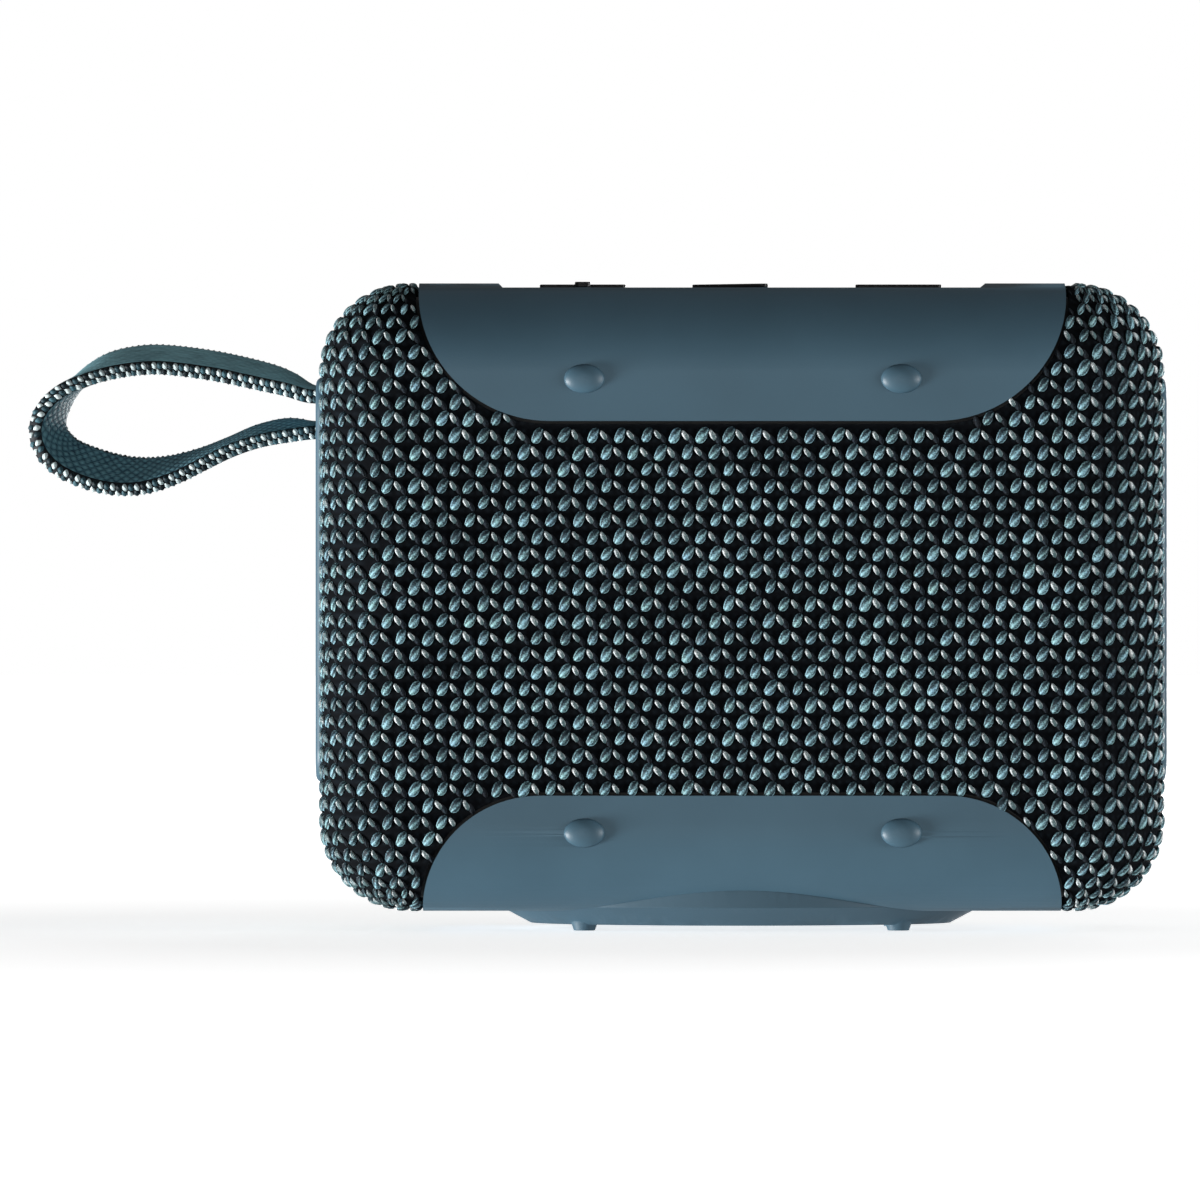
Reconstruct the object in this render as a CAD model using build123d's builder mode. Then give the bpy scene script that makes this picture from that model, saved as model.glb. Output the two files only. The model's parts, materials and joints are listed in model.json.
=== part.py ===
"""Pocket wireless speaker: fabric-covered rounded block with wrap-over panels, keys, driver and strap.

Frame: millimetres, +Z up, -Y is the front (driver side), +X is the strap side.
The origin is the middle of the standing plane, under the tips of the base nubs.
"""
import os

from build123d import *

os.makedirs("parts", exist_ok=True)

# ---- Driving dimensions -------------------------------------------------------------------
# Fabric block and its layers, counted inwards from the fabric's outer face
body_w = 86.4
body_d = 40.0
body_h = 64.0
corner_r = 9.0
stand_gap = 2.4
fabric_t = 1.0
glue_gap = 0.1
shell_t = 1.5

# Wrap-over panels
panel_proud = 0.3
groove = 0.3
panel_reach = 8.0
panel_front_r = 9.0
top_half_w = 33.2
top_drop = 14.0
top_flank_r = 13.4
base_half_w = 32.8
base_rise = 11.7
base_flank_r = 12.0
field_half_w = 24.6
field_depth = 0.5
field_slope = 0.9

# Small feet on the rear of both panels
nub_x = 16.2
nub_w = 4.0
nub_h = 2.6
nub_proud = 0.8
nub_root = 0.6
nub_draw_in = 0.7
top_nub_drop = 9.7
base_nub_rise = 7.9

# Base foot: oval pad with four nubs
foot_w = 50.8
foot_d = 33.8
foot_gap = 0.15
foot_bottom = 0.62
foot_lip = 1.9
foot_draw_in = 3.6
foot_nub_x = 16.2
foot_nub_y = 8.0
foot_nub_r = 1.65
foot_nub_tip_r = 1.1

# Side panels
side_w = 14.0
side_h = 42.0
side_r = 3.5
side_proud = 0.8
side_edge_r = 0.75
side_mid_z = 36.2

# Fits shared by every key and joint
seat_gap = 0.05
pin_fit = 0.03
key_gap = 0.15

# Top keys
key_pitch = 16.4
bar_len = 8.9
bar_w = 1.6
bar_end_r = 0.45
play_r = 5.6
play_round = 0.6
plinth_h = 0.3
symbol_h = 0.37
cross_rise = 0.18
flange_w = 10.6
flange_t = 0.95
window_w = 12.4
nib_r = 1.5

# Key board and switches
key_bay_h = 4.3
board_lift = 0.6
board_t = 0.8
key_board_w = 46.0
key_board_d = 12.0
key_screw_x = 21.0
key_screw_y = 3.6
switch_w = 4.5
switch_h = 1.5
plunger_r = 1.0
plunger_gap = 0.08
plunger_out = 0.55
plunger_in = 0.8
well_floor = 0.3

# Side keys, status lens and charge socket, placed from the side panel's middle
side_recess = 0.4
side_key_r = 3.2
side_flange_r = 4.1
side_key_sink = 0.1
power_dz = 13.8
pairing_dz = 4.8
lens_dz = -2.4
socket_dz = -11.7
lens_r = 0.75
side_window_w = 10.8
side_window_h = 37.4
side_board_w = 10.4
side_board_h = 40.0
side_board_screw_dz = 18.2
socket_open_l = 8.34
socket_open_w = 2.56
socket_wall = 0.3
socket_sink = 0.5
tongue_l = 6.69
tongue_t = 0.7
tongue_sink = 0.6
insert_t = 1.2
seal_wall = 0.8

# Strap and its pin
strap_w = 7.0
strap_t = 1.6
pin_r = 1.0
pin_in = 2.7
pin_z = 53.55
slot_clear = 0.4
ear_t = 1.4
ear_gap = 0.5
ear_r = 1.8
strap_window_w = 11.4
strap_window_h = 6.8
strap_upper_run = 4.7
strap_lower_run = 9.2
strap_route = [
    (13.0, 5.2), (21.0, 6.2), (30.2, 4.9), (33.0, -2.0), (28.6, -6.6), (21.6, -7.1)]
strap_bends = [9.0, 26.0, 20.0, 4.6, 4.4, 6.0, 16.0, 12.0]

# Screw posts and screws
post_in = 7.0
post_drop = 6.5
post_r = 2.3
boss_seat = 2.1
screw_r = 1.0
screw_head_r = 1.8
screw_head_h = 1.1
screw_way_r = 1.15
case_screw_len = 9.0
box_screw_len = 6.0
board_screw_len = 2.2

# Speaker box and baffle
box_side_gap = 8.2
box_floor_gap = 2.0
box_back_gap = 3.4
box_wall = 2.0
box_r = 7.0
baffle_front_gap = 3.9
baffle_t = 2.0
gasket_t = 0.4
gasket_w = 1.6
box_boss_in = 4.8
box_boss_r = 3.0
box_boss_len = 8.0

standoff_r = 2.0
rail_x = 18.0
rail_t = 2.0
rail_len = 20.0
slot_l = 11.0
slot_w = 1.8
slot_web = 2.5
slot_pitch = 3.2
front_slots_x = 4
front_slots_z = 12
rear_slots_x = 3
rear_slots_z = 8

# Driver
driver_w = 47.0
driver_h = 43.0
driver_r = 6.0
flange_plate_t = 1.0
driver_gasket_t = 0.5
driver_screw_x = 20.5
driver_screw_z = 18.5
driver_boss_r = 2.2
driver_boss_len = 4.0
basket_r = 19.4
basket_wall = 1.1
basket_base_r = 16.4
spider_depth = 7.1
magnet_depth = 9.5
basket_floor_t = 1.0
cone_r = 15.7
cone_t = 0.4
cone_depth = 5.0
surround_lip = 1.6
surround_t = 0.4
coil_r = 6.5
coil_t = 0.25
winding_t = 0.25
coil_gap = 0.3
coil_len = 7.6
winding_len = 3.4
cap_r = 7.4
cap_rise = 2.15
cap_t = 0.3
magnet_r = 15.0
top_plate_t = 2.0
magnet_t = 4.0
yoke_t = 2.0
magnet_hole_r = 8.6
basket_hole_r = 8.0

# Passive radiator
radiator_w = 50.0
radiator_h = 32.0
radiator_r = 6.0
radiator_frame_t = 1.2
radiator_open_w = 43.0
radiator_open_h = 25.0
radiator_plate_w = 34.0
radiator_plate_h = 16.0
radiator_plate_t = 1.2
radiator_skin_t = 0.4
radiator_bead_w = 1.8
radiator_bead_h = 1.1
radiator_lip = 1.5

# Battery and main board
cell_t = 6.5
cell_d = 18.0
cell_h = 35.0
pad_t = 2.0
main_t = 1.2
main_d = 17.0
main_h = 36.0
main_standoff = 3.4
main_screw_y = 6.0
main_screw_z = 15.3
header_d = 4.0
header_h = 12.0
header_gap = 0.1
lead_r = 0.5
lead_pitch = 1.8
lead_bend = 2.5
ribbon_w = 4.0
ribbon_t = 0.3
ribbon_y = 0.9
cell_round = 1.2
driver_lead_drop = 8.0
lead_drop_in = 3.6
lead_run_in = 4.5
chips = [
    (-2.0, 9.0, 7.0, 7.0, 1.2), (3.5, -1.5, 8.0, 8.0, 1.0), (-4.0, -1.0, 4.0, 4.0, 2.0),
    (3.6, 8.0, 3.0, 4.0, 1.6), (-0.5, -11.6, 6.0, 4.0, 1.5)]

# ---- Places worked out from the dimensions ------------------------------------------------
half_w = body_w / 2
half_d = body_d / 2
mid_z = stand_gap + body_h / 2
top_z = stand_gap + body_h
cavity_in = fabric_t + glue_gap + shell_t
panel_top_z = top_z + panel_proud
field_z = panel_top_z - field_depth
panel_under_z = top_z - fabric_t
bay_top_z = top_z - cavity_in

panel_front_y = -half_d + panel_reach
rear_face_y = half_d + panel_proud
top_edge_z = top_z - top_drop
base_edge_z = stand_gap + base_rise

box_half_w = half_w - box_side_gap
box_z0 = stand_gap + cavity_in + box_floor_gap
box_z1 = bay_top_z - key_bay_h
box_mid_z = (box_z0 + box_z1) / 2
box_h = box_z1 - box_z0
box_back_y = half_d - cavity_in - box_back_gap
baffle_front_y = -half_d + cavity_in + baffle_front_gap
baffle_back_y = baffle_front_y + baffle_t
split_y = baffle_back_y
box_rim_y = baffle_back_y + gasket_t
box_inner_y = (box_rim_y + box_back_y - box_wall) / 2

case_seat_y = baffle_front_y - boss_seat
post_x = half_w - post_in
post_dz = body_h / 2 - post_drop
box_boss_x = box_half_w - box_boss_in
box_boss_dz = box_h / 2 - box_boss_in

key_board_z = box_z1 + board_lift
switch_z = key_board_z + board_t
plunger_top_z = switch_z + switch_h + plunger_out
flange_top_z = panel_under_z - seat_gap
plinth_top_z = field_z + plinth_h

side_face = half_w + side_proud
side_under = half_w - fabric_t
socket_l = socket_open_l + 2 * socket_wall
socket_w = socket_open_w + 2 * socket_wall
side_board_face = box_half_w + board_lift + board_t
side_switch_face = side_board_face + switch_h
side_plunger_face = side_switch_face + plunger_out
side_flange_face = side_under - seat_gap

pin_x = half_w - pin_in
strap_leg = pin_r + seat_gap + strap_t / 2

driver_back_y = baffle_front_y - driver_gasket_t
driver_front_y = driver_back_y - flange_plate_t
spider_y = driver_back_y + spider_depth
plate_y = driver_back_y + magnet_depth
magnet_y = plate_y + top_plate_t
yoke_y = magnet_y + magnet_t
cone_neck_y = driver_front_y + cone_depth
winding_r = coil_r + coil_t + winding_t
neck_r = coil_r + coil_t + seat_gap
spider_seat_r = basket_base_r - 2 * basket_wall
roll_r = (basket_r - basket_wall - cone_r) / 2
roll_mid_r = cone_r + roll_r + seat_gap
cap_edge_y = cone_neck_y - cone_t
cap_dome_r = (cap_r**2 + cap_rise**2) / (2 * cap_rise)
radiator_y = box_back_y + radiator_frame_t
bead_in = (radiator_open_h - radiator_plate_h) / 4 - radiator_bead_w / 2
bead_out = bead_in + radiator_bead_w
driver_axis = Axis((0, 0, box_mid_z), (0, 1, 0))

cell_x1 = box_half_w - box_wall - pad_t
main_out_x = -(box_half_w - box_wall - main_standoff)
main_in_x = main_out_x + main_t
lead_turn_x = -magnet_r - lead_run_in
lead_end_x = -magnet_r - lead_r + seat_gap

far = 60.0
top_keys = [("plus", key_pitch), ("play", 0.0), ("minus", -key_pitch)]
side_keys = [("power", side_mid_z + power_dz), ("pairing", side_mid_z + pairing_dz)]


# ---- Planes and shared shapes -------------------------------------------------------------
def facing_front(x, y, z):
    """Plane at a point, facing the front (-Y), with X to the right and Z up."""
    return Plane(origin=(x, y, z), x_dir=(1, 0, 0), z_dir=(0, -1, 0))


def facing_rear(x, y, z):
    """Plane at a point, facing the rear (+Y), with Z up."""
    return Plane(origin=(x, y, z), x_dir=(-1, 0, 0), z_dir=(0, 1, 0))


def facing_side(sign, x, y, z):
    """Plane at a point, facing +X or -X, with Z up."""
    return Plane(origin=(x, y, z), x_dir=(0, sign, 0), z_dir=(sign, 0, 0))


def rounded_form(inset):
    """The fabric block, made smaller by inset on every side."""
    with BuildPart() as form:
        with Locations((0, 0, mid_z)):
            Box(body_w - 2 * inset, body_d - 2 * inset, body_h - 2 * inset)
        fillet(form.edges(), corner_r - inset)
    return form.part


def panel_block(edge_z, end_z, wide, flank_r, grow):
    """The block that a wrap-over panel fills: flanked as seen from the rear, rounded near the front."""
    low_z = min(edge_z - grow, end_z) if end_z > edge_z else end_z
    high_z = end_z if end_z > edge_z else edge_z + grow
    front_y = panel_front_y - grow
    with BuildPart() as block:
        with BuildSketch(facing_front(0, far, (low_z + high_z) / 2)) as outline:
            Rectangle(2 * (wide + grow), high_z - low_z)
            flank = outline.vertices().group_by(Axis.Y)[0 if end_z > edge_z else -1]
            fillet(flank, flank_r + grow)
        extrude(amount=far - front_y)
        with BuildSketch(Plane.XY.offset(low_z)) as plan:
            with Locations((0, (front_y + far) / 2)):
                Rectangle(2 * (wide + grow), far - front_y)
            fillet(plan.vertices().group_by(Axis.Y)[0], panel_front_r + grow)
        extrude(amount=high_z - low_z, mode=Mode.INTERSECT)
    return block.part


def foot_block(low_z, grow):
    """Straight-walled oval from low_z up past the block's lower face."""
    with BuildPart() as block:
        with BuildSketch(Plane.XY.offset(low_z)):
            Ellipse(foot_w / 2 + grow, foot_d / 2 + grow)
        extrude(amount=stand_gap + corner_r - low_z)
    return block.part


def raise_nub(x, z):
    """Add one rear foot to the open part: an oval stub that narrows to a flat tip."""
    with BuildSketch(facing_rear(x, rear_face_y - nub_root, z)) as root:
        Ellipse(nub_w / 2, nub_h / 2)
    with BuildSketch(facing_rear(x, rear_face_y + nub_proud, z)) as tip:
        Ellipse(nub_w / 2 - nub_draw_in, nub_h / 2 - nub_draw_in)
    loft([root.sketch, tip.sketch])


def draw_play(grow):
    """Draw the play key's rounded triangle in the open sketch."""
    reach = play_r + 2 * grow
    with BuildLine() as outline:
        FilletPolyline(
            (reach, 0), (-reach / 2, reach * 0.866), (-reach / 2, -reach * 0.866),
            radius=play_round + grow, close=True)
    make_face(outline.edges())


def draw_key(name, grow):
    """Draw a top key's symbol in the open sketch, made larger by grow all round."""
    if name == "play":
        draw_play(grow)
    else:
        RectangleRounded(bar_len + 2 * grow, bar_w + 2 * grow, bar_end_r + grow)
    if name == "plus":
        RectangleRounded(bar_w + 2 * grow, bar_len + 2 * grow, bar_end_r + grow)


def draw_posts(radius):
    """Draw the four case posts in the open sketch, which faces the front at the block's middle."""
    with GridLocations(2 * post_x, 2 * post_dz, 2, 2):
        Circle(radius)


def set_screw(seat, length):
    """Add one socket-head screw to the open part: head on the seat plane, shank behind it."""
    with BuildSketch(seat) as head:
        Circle(screw_head_r)
    extrude(head.sketch, amount=screw_head_h)
    with BuildSketch(seat) as shank:
        Circle(screw_r)
    extrude(shank.sketch, amount=-length)
    with BuildSketch(seat.offset(screw_head_h)) as socket:
        RegularPolygon(screw_head_r / 2, 6)
    extrude(socket.sketch, amount=-screw_head_h / 2, mode=Mode.SUBTRACT)


def save(part, name):
    """Label a finished piece and write it to its own file."""
    part.label = name
    export_step(part, f"parts/{name}.step")


skin_form = rounded_form(0)
panel_form = rounded_form(-panel_proud)
backing_form = rounded_form(fabric_t)
shell_form = rounded_form(fabric_t + glue_gap)
cavity_form = rounded_form(cavity_in)
top_block = panel_block(top_edge_z, top_z + corner_r, top_half_w, top_flank_r, 0)
top_window = panel_block(top_edge_z, top_z + corner_r, top_half_w, top_flank_r, groove)
base_block = panel_block(base_edge_z, stand_gap - corner_r, base_half_w, base_flank_r, 0)
base_window = panel_block(base_edge_z, stand_gap - corner_r, base_half_w, base_flank_r, groove)
foot_wall = foot_block(foot_bottom + foot_lip, 0)
foot_hole = foot_block(0, foot_gap)
foot_window = foot_block(0, groove)

# ---- Outer skin ---------------------------------------------------------------------------
with BuildPart() as fabric_sleeve:
    add(skin_form)
    add(backing_form, mode=Mode.SUBTRACT)
    add(top_window, mode=Mode.SUBTRACT)
    add(base_window, mode=Mode.SUBTRACT)
    add(foot_window, mode=Mode.SUBTRACT)
    for sign in (1, -1):
        with BuildSketch(facing_side(sign, sign * corner_r, 0, side_mid_z)):
            RectangleRounded(side_w + 2 * groove, side_h + 2 * groove, side_r + groove)
        extrude(amount=far, mode=Mode.SUBTRACT)
save(fabric_sleeve.part, "fabric_sleeve")

with BuildPart() as top_panel:
    add(panel_form)
    add(backing_form, mode=Mode.SUBTRACT)
    add(top_block, mode=Mode.INTERSECT)
    with BuildSketch(facing_front(0, far, field_z)):
        with BuildLine():
            Polyline(
                (-field_half_w, 0), (field_half_w, 0),
                (field_half_w + field_slope, field_depth * 2), (-field_half_w - field_slope, field_depth * 2),
                close=True)
        make_face()
    extrude(amount=2 * far, mode=Mode.SUBTRACT)
    for name, key_x in top_keys:
        with BuildSketch(Plane((key_x, 0, panel_under_z - 1))):
            draw_key(name, key_gap)
        extrude(amount=corner_r, mode=Mode.SUBTRACT)
    for sign in (1, -1):
        raise_nub(sign * nub_x, top_z - top_nub_drop)
save(top_panel.part, "top_panel")

with BuildPart() as base_panel:
    add(panel_form)
    add(backing_form, mode=Mode.SUBTRACT)
    add(base_block, mode=Mode.INTERSECT)
    add(foot_hole, mode=Mode.SUBTRACT)
    for sign in (1, -1):
        raise_nub(sign * nub_x, stand_gap + base_nub_rise)
save(base_panel.part, "base_panel")

with BuildPart() as base_foot:
    add(foot_wall)
    add(backing_form, mode=Mode.SUBTRACT)
    with BuildSketch(Plane.XY.offset(foot_bottom)):
        Ellipse(foot_w / 2 - foot_draw_in, foot_d / 2 - foot_draw_in)
    with BuildSketch(Plane.XY.offset(foot_bottom + foot_lip)):
        Ellipse(foot_w / 2, foot_d / 2)
    loft()
    with GridLocations(2 * foot_nub_x, 2 * foot_nub_y, 2, 2):
        Cone(
            foot_nub_tip_r, foot_nub_r, foot_bottom + foot_lip / 2,
            align=(Align.CENTER, Align.CENTER, Align.MIN))
save(base_foot.part, "base_foot")

with BuildPart() as strap_side_panel:
    with BuildSketch(facing_side(1, side_under, 0, side_mid_z)):
        RectangleRounded(side_w, side_h, side_r)
    extrude(amount=side_face - side_under)
    fillet(strap_side_panel.faces().sort_by(Axis.X)[-1].edges(), side_edge_r)
    for sign in (1, -1):
        with BuildSketch(facing_front(0, sign * (strap_w + ear_t) / 2 + sign * ear_gap + ear_t / 2, pin_z)):
            with Locations((pin_x, 0)):
                Circle(ear_r)
            with Locations(((pin_x + side_under) / 2, 0)):
                Rectangle(side_under - pin_x, 2 * ear_r)
        extrude(amount=ear_t)
    with BuildSketch(facing_front(pin_x, half_d, pin_z)):
        Circle(pin_r + pin_fit)
    extrude(amount=body_d, mode=Mode.SUBTRACT)
    with BuildSketch(facing_side(1, side_under, 0, pin_z)):
        with GridLocations(1, 2 * strap_leg, 1, 2):
            RectangleRounded(strap_w + 2 * slot_clear, strap_t + 2 * slot_clear, strap_t / 2)
    extrude(amount=far, mode=Mode.SUBTRACT)
save(strap_side_panel.part, "strap_side_panel")

with BuildPart() as port_side_panel:
    with BuildSketch(facing_side(-1, -side_under, 0, side_mid_z)):
        RectangleRounded(side_w, side_h, side_r)
    extrude(amount=side_face - side_under)
    fillet(port_side_panel.faces().sort_by(Axis.X)[0].edges(), side_edge_r)
    with BuildSketch(facing_side(-1, side_recess - side_face, 0, side_mid_z + (power_dz + pairing_dz) / 2)):
        SlotCenterToCenter(power_dz - pairing_dz, 2 * (side_key_r + groove + slot_clear), rotation=90)
    extrude(amount=side_proud, mode=Mode.SUBTRACT)
    for name, key_z in side_keys:
        with BuildSketch(facing_side(-1, -side_under, 0, key_z)):
            Circle(side_key_r + key_gap)
        extrude(amount=far, mode=Mode.SUBTRACT)
    with BuildSketch(facing_side(-1, -side_under, 0, side_mid_z + lens_dz)):
        Circle(lens_r + seat_gap)
    extrude(amount=far, mode=Mode.SUBTRACT)
    with BuildSketch(facing_side(-1, -side_under, 0, side_mid_z + socket_dz)):
        SlotOverall(socket_l + 2 * key_gap, socket_w + 2 * key_gap, rotation=90)
    extrude(amount=far, mode=Mode.SUBTRACT)
save(port_side_panel.part, "port_side_panel")

# ---- Shell halves behind the skin ---------------------------------------------------------
with BuildPart() as post_cavity:
    add(cavity_form)
    with BuildSketch(facing_front(0, far, mid_z)):
        draw_posts(post_r)
    extrude(amount=2 * far, mode=Mode.SUBTRACT)

with BuildPart() as front_grille:
    add(shell_form)
    add(post_cavity.part, mode=Mode.SUBTRACT)
    with BuildSketch(facing_rear(0, split_y, mid_z)):
        Rectangle(2 * far, 2 * far)
    extrude(amount=far, mode=Mode.SUBTRACT)
    with BuildSketch(facing_rear(0, baffle_front_y, mid_z)):
        draw_posts(post_r + seat_gap)
    extrude(amount=far, mode=Mode.SUBTRACT)
    with BuildSketch(facing_front(0, split_y, mid_z)):
        draw_posts(screw_way_r)
    extrude(amount=far, mode=Mode.SUBTRACT)
    with BuildSketch(facing_front(0, case_seat_y, mid_z)):
        draw_posts(screw_head_r + key_gap)
    extrude(amount=far, mode=Mode.SUBTRACT)
    with BuildSketch(facing_front(0, case_seat_y, box_mid_z)):
        with GridLocations(slot_l + slot_web, slot_pitch, front_slots_x, front_slots_z):
            SlotOverall(slot_l, slot_w)
    extrude(amount=far, mode=Mode.SUBTRACT)
save(front_grille.part, "front_grille")

with BuildPart() as rear_shell:
    add(shell_form)
    add(post_cavity.part, mode=Mode.SUBTRACT)
    with BuildSketch(facing_front(0, split_y, mid_z)):
        Rectangle(2 * far, 2 * far)
    extrude(amount=far, mode=Mode.SUBTRACT)
    with BuildSketch(facing_front(0, split_y + case_screw_len, mid_z)):
        draw_posts(screw_r + pin_fit)
    extrude(amount=far, mode=Mode.SUBTRACT)
    with BuildSketch(facing_rear(0, box_back_y, box_mid_z)):
        with GridLocations(slot_l + slot_web, slot_pitch, rear_slots_x, rear_slots_z):
            SlotOverall(slot_l, slot_w)
    extrude(amount=far, mode=Mode.SUBTRACT)
    for name, key_x in top_keys:
        with BuildSketch(Plane((key_x, 0, box_z1))):
            RectangleRounded(window_w, window_w, bar_w)
        extrude(amount=corner_r, mode=Mode.SUBTRACT)
    with BuildSketch(facing_side(1, box_half_w, 0, pin_z)):
        RectangleRounded(strap_window_w, strap_window_h, strap_t)
    extrude(amount=corner_r, mode=Mode.SUBTRACT)
    with BuildSketch(facing_side(-1, -box_half_w, 0, side_mid_z)):
        RectangleRounded(side_window_w, side_window_h, bar_w)
    extrude(amount=corner_r, mode=Mode.SUBTRACT)
    with BuildSketch(Plane.XY.offset(stand_gap + cavity_in - seat_gap)):
        with Locations((0, box_inner_y)):
            with GridLocations(2 * rail_x, 1, 2, 1):
                Rectangle(rail_t, rail_len)
    extrude(amount=box_floor_gap)
save(rear_shell.part, "rear_shell")

# ---- Speaker box, baffle and gasket -------------------------------------------------------
with BuildPart() as speaker_box:
    with BuildSketch(facing_rear(0, box_rim_y, box_mid_z)):
        RectangleRounded(2 * box_half_w, box_h, box_r)
    extrude(amount=box_back_y - box_rim_y)
    with BuildSketch(facing_rear(0, box_rim_y, box_mid_z)):
        RectangleRounded(2 * (box_half_w - box_wall), box_h - 2 * box_wall, box_r - box_wall)
        with GridLocations(2 * box_boss_x, 2 * box_boss_dz, 2, 2):
            Circle(box_boss_r, mode=Mode.SUBTRACT)
    extrude(amount=box_boss_len, mode=Mode.SUBTRACT)
    with BuildSketch(facing_rear(0, box_rim_y + box_boss_len, box_mid_z)):
        RectangleRounded(2 * (box_half_w - box_wall), box_h - 2 * box_wall, box_r - box_wall)
    extrude(amount=box_back_y - box_wall - box_rim_y - box_boss_len, mode=Mode.SUBTRACT)
    with BuildSketch(facing_rear(0, box_rim_y, box_mid_z)):
        with GridLocations(2 * box_boss_x, 2 * box_boss_dz, 2, 2):
            Circle(screw_r + pin_fit)
    extrude(amount=box_screw_len, mode=Mode.SUBTRACT)
    with BuildSketch(facing_rear(0, box_back_y - box_wall, box_mid_z)):
        RectangleRounded(radiator_open_w, radiator_open_h, radiator_r)
    extrude(amount=far, mode=Mode.SUBTRACT)
    # Standoffs for the main board, the side board and the key board, each with its screw hole
    with BuildSketch(facing_side(1, -box_half_w + box_wall / 2, box_inner_y, box_mid_z)):
        with GridLocations(2 * main_screw_y, 2 * main_screw_z, 2, 2):
            Circle(standoff_r)
    extrude(amount=main_standoff + box_wall / 2)
    with BuildSketch(facing_side(-1, main_out_x, box_inner_y, box_mid_z)):
        with GridLocations(2 * main_screw_y, 2 * main_screw_z, 2, 2):
            Circle(screw_r + pin_fit)
    extrude(amount=board_screw_len, mode=Mode.SUBTRACT)
    with BuildSketch(facing_side(-1, -box_half_w + box_wall / 2, 0, side_mid_z)):
        with GridLocations(1, 2 * side_board_screw_dz, 1, 2):
            Circle(standoff_r)
    extrude(amount=board_lift + box_wall / 2)
    with BuildSketch(facing_side(1, -box_half_w - board_lift, 0, side_mid_z)):
        with GridLocations(1, 2 * side_board_screw_dz, 1, 2):
            Circle(screw_r + pin_fit)
    extrude(amount=board_screw_len - board_t, mode=Mode.SUBTRACT)
    with BuildSketch(Plane.XY.offset(box_z1 - box_wall / 2)):
        with Locations((0, -key_screw_y)):
            with GridLocations(2 * key_screw_x, 1, 2, 1):
                Circle(standoff_r)
    extrude(amount=board_lift + box_wall / 2)
    with BuildSketch(Plane.XY.offset(key_board_z)):
        with Locations((0, -key_screw_y)):
            with GridLocations(2 * key_screw_x, 1, 2, 1):
                Circle(screw_r + pin_fit)
    extrude(amount=board_t - board_screw_len, mode=Mode.SUBTRACT)
    # Ways through the walls for the board header and the key ribbon
    with BuildSketch(facing_side(-1, main_out_x, box_inner_y, box_mid_z)):
        Rectangle(header_d + 2 * header_gap, header_h + 2 * header_gap)
    extrude(amount=far, mode=Mode.SUBTRACT)
    with BuildSketch(Plane.XY.offset(box_z1 - 2 * box_wall)):
        with Locations((main_out_x - ribbon_t, ribbon_y)):
            Rectangle(4 * ribbon_t, ribbon_w + 2 * header_gap)
    extrude(amount=3 * box_wall, mode=Mode.SUBTRACT)
save(speaker_box.part, "speaker_box")

with BuildPart() as box_gasket:
    with BuildSketch(facing_rear(0, baffle_back_y, box_mid_z)):
        RectangleRounded(2 * box_half_w, box_h, box_r)
        RectangleRounded(
            2 * (box_half_w - gasket_w), box_h - 2 * gasket_w, box_r - gasket_w, mode=Mode.SUBTRACT)
    extrude(amount=gasket_t)
save(box_gasket.part, "box_gasket")

with BuildPart() as front_baffle:
    with BuildSketch(facing_rear(0, baffle_front_y, mid_z)):
        RectangleRounded(2 * (post_x + post_r), 2 * (post_dz + post_r), post_r)
    extrude(amount=baffle_t)
    with BuildSketch(facing_rear(0, baffle_back_y, box_mid_z)):
        with GridLocations(2 * driver_screw_x, 2 * driver_screw_z, 2, 2):
            Circle(driver_boss_r)
    extrude(amount=driver_boss_len)
    with BuildSketch(facing_front(0, baffle_back_y, mid_z)):
        draw_posts(screw_way_r)
    extrude(amount=baffle_t, mode=Mode.SUBTRACT)
    with BuildSketch(facing_front(0, baffle_back_y, box_mid_z)):
        Circle(basket_r + slot_clear)
        with GridLocations(2 * box_boss_x, 2 * box_boss_dz, 2, 2):
            Circle(screw_way_r)
    extrude(amount=baffle_t, mode=Mode.SUBTRACT)
    with BuildSketch(facing_rear(0, baffle_front_y, box_mid_z)):
        with GridLocations(2 * driver_screw_x, 2 * driver_screw_z, 2, 2):
            Circle(screw_r + pin_fit)
    extrude(amount=box_screw_len, mode=Mode.SUBTRACT)
save(front_baffle.part, "front_baffle")

# ---- Driver -------------------------------------------------------------------------------
with BuildPart() as driver_gasket:
    with BuildSketch(facing_front(0, baffle_front_y, box_mid_z)):
        RectangleRounded(driver_w, driver_h, driver_r)
        Circle(basket_r + slot_clear, mode=Mode.SUBTRACT)
        with GridLocations(2 * driver_screw_x, 2 * driver_screw_z, 2, 2):
            Circle(screw_way_r, mode=Mode.SUBTRACT)
    extrude(amount=driver_gasket_t)
save(driver_gasket.part, "driver_gasket")

with BuildPart() as driver_basket:
    with BuildSketch(facing_front(0, driver_back_y, box_mid_z)):
        RectangleRounded(driver_w, driver_h, driver_r)
        Circle(basket_r - basket_wall, mode=Mode.SUBTRACT)
        with GridLocations(2 * driver_screw_x, 2 * driver_screw_z, 2, 2):
            Circle(screw_way_r, mode=Mode.SUBTRACT)
    extrude(amount=flange_plate_t)
    with BuildSketch(Plane.XY.offset(box_mid_z)):
        with BuildLine():
            Polyline(
                (basket_r, driver_back_y), (basket_base_r, spider_y), (basket_base_r, plate_y),
                (basket_hole_r, plate_y), (basket_hole_r, plate_y - basket_floor_t),
                (spider_seat_r, plate_y - basket_floor_t), (spider_seat_r, spider_y),
                (basket_base_r - basket_wall, spider_y), (basket_r - basket_wall, driver_back_y), close=True)
        make_face()
    revolve(axis=driver_axis)
save(driver_basket.part, "driver_basket")

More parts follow.
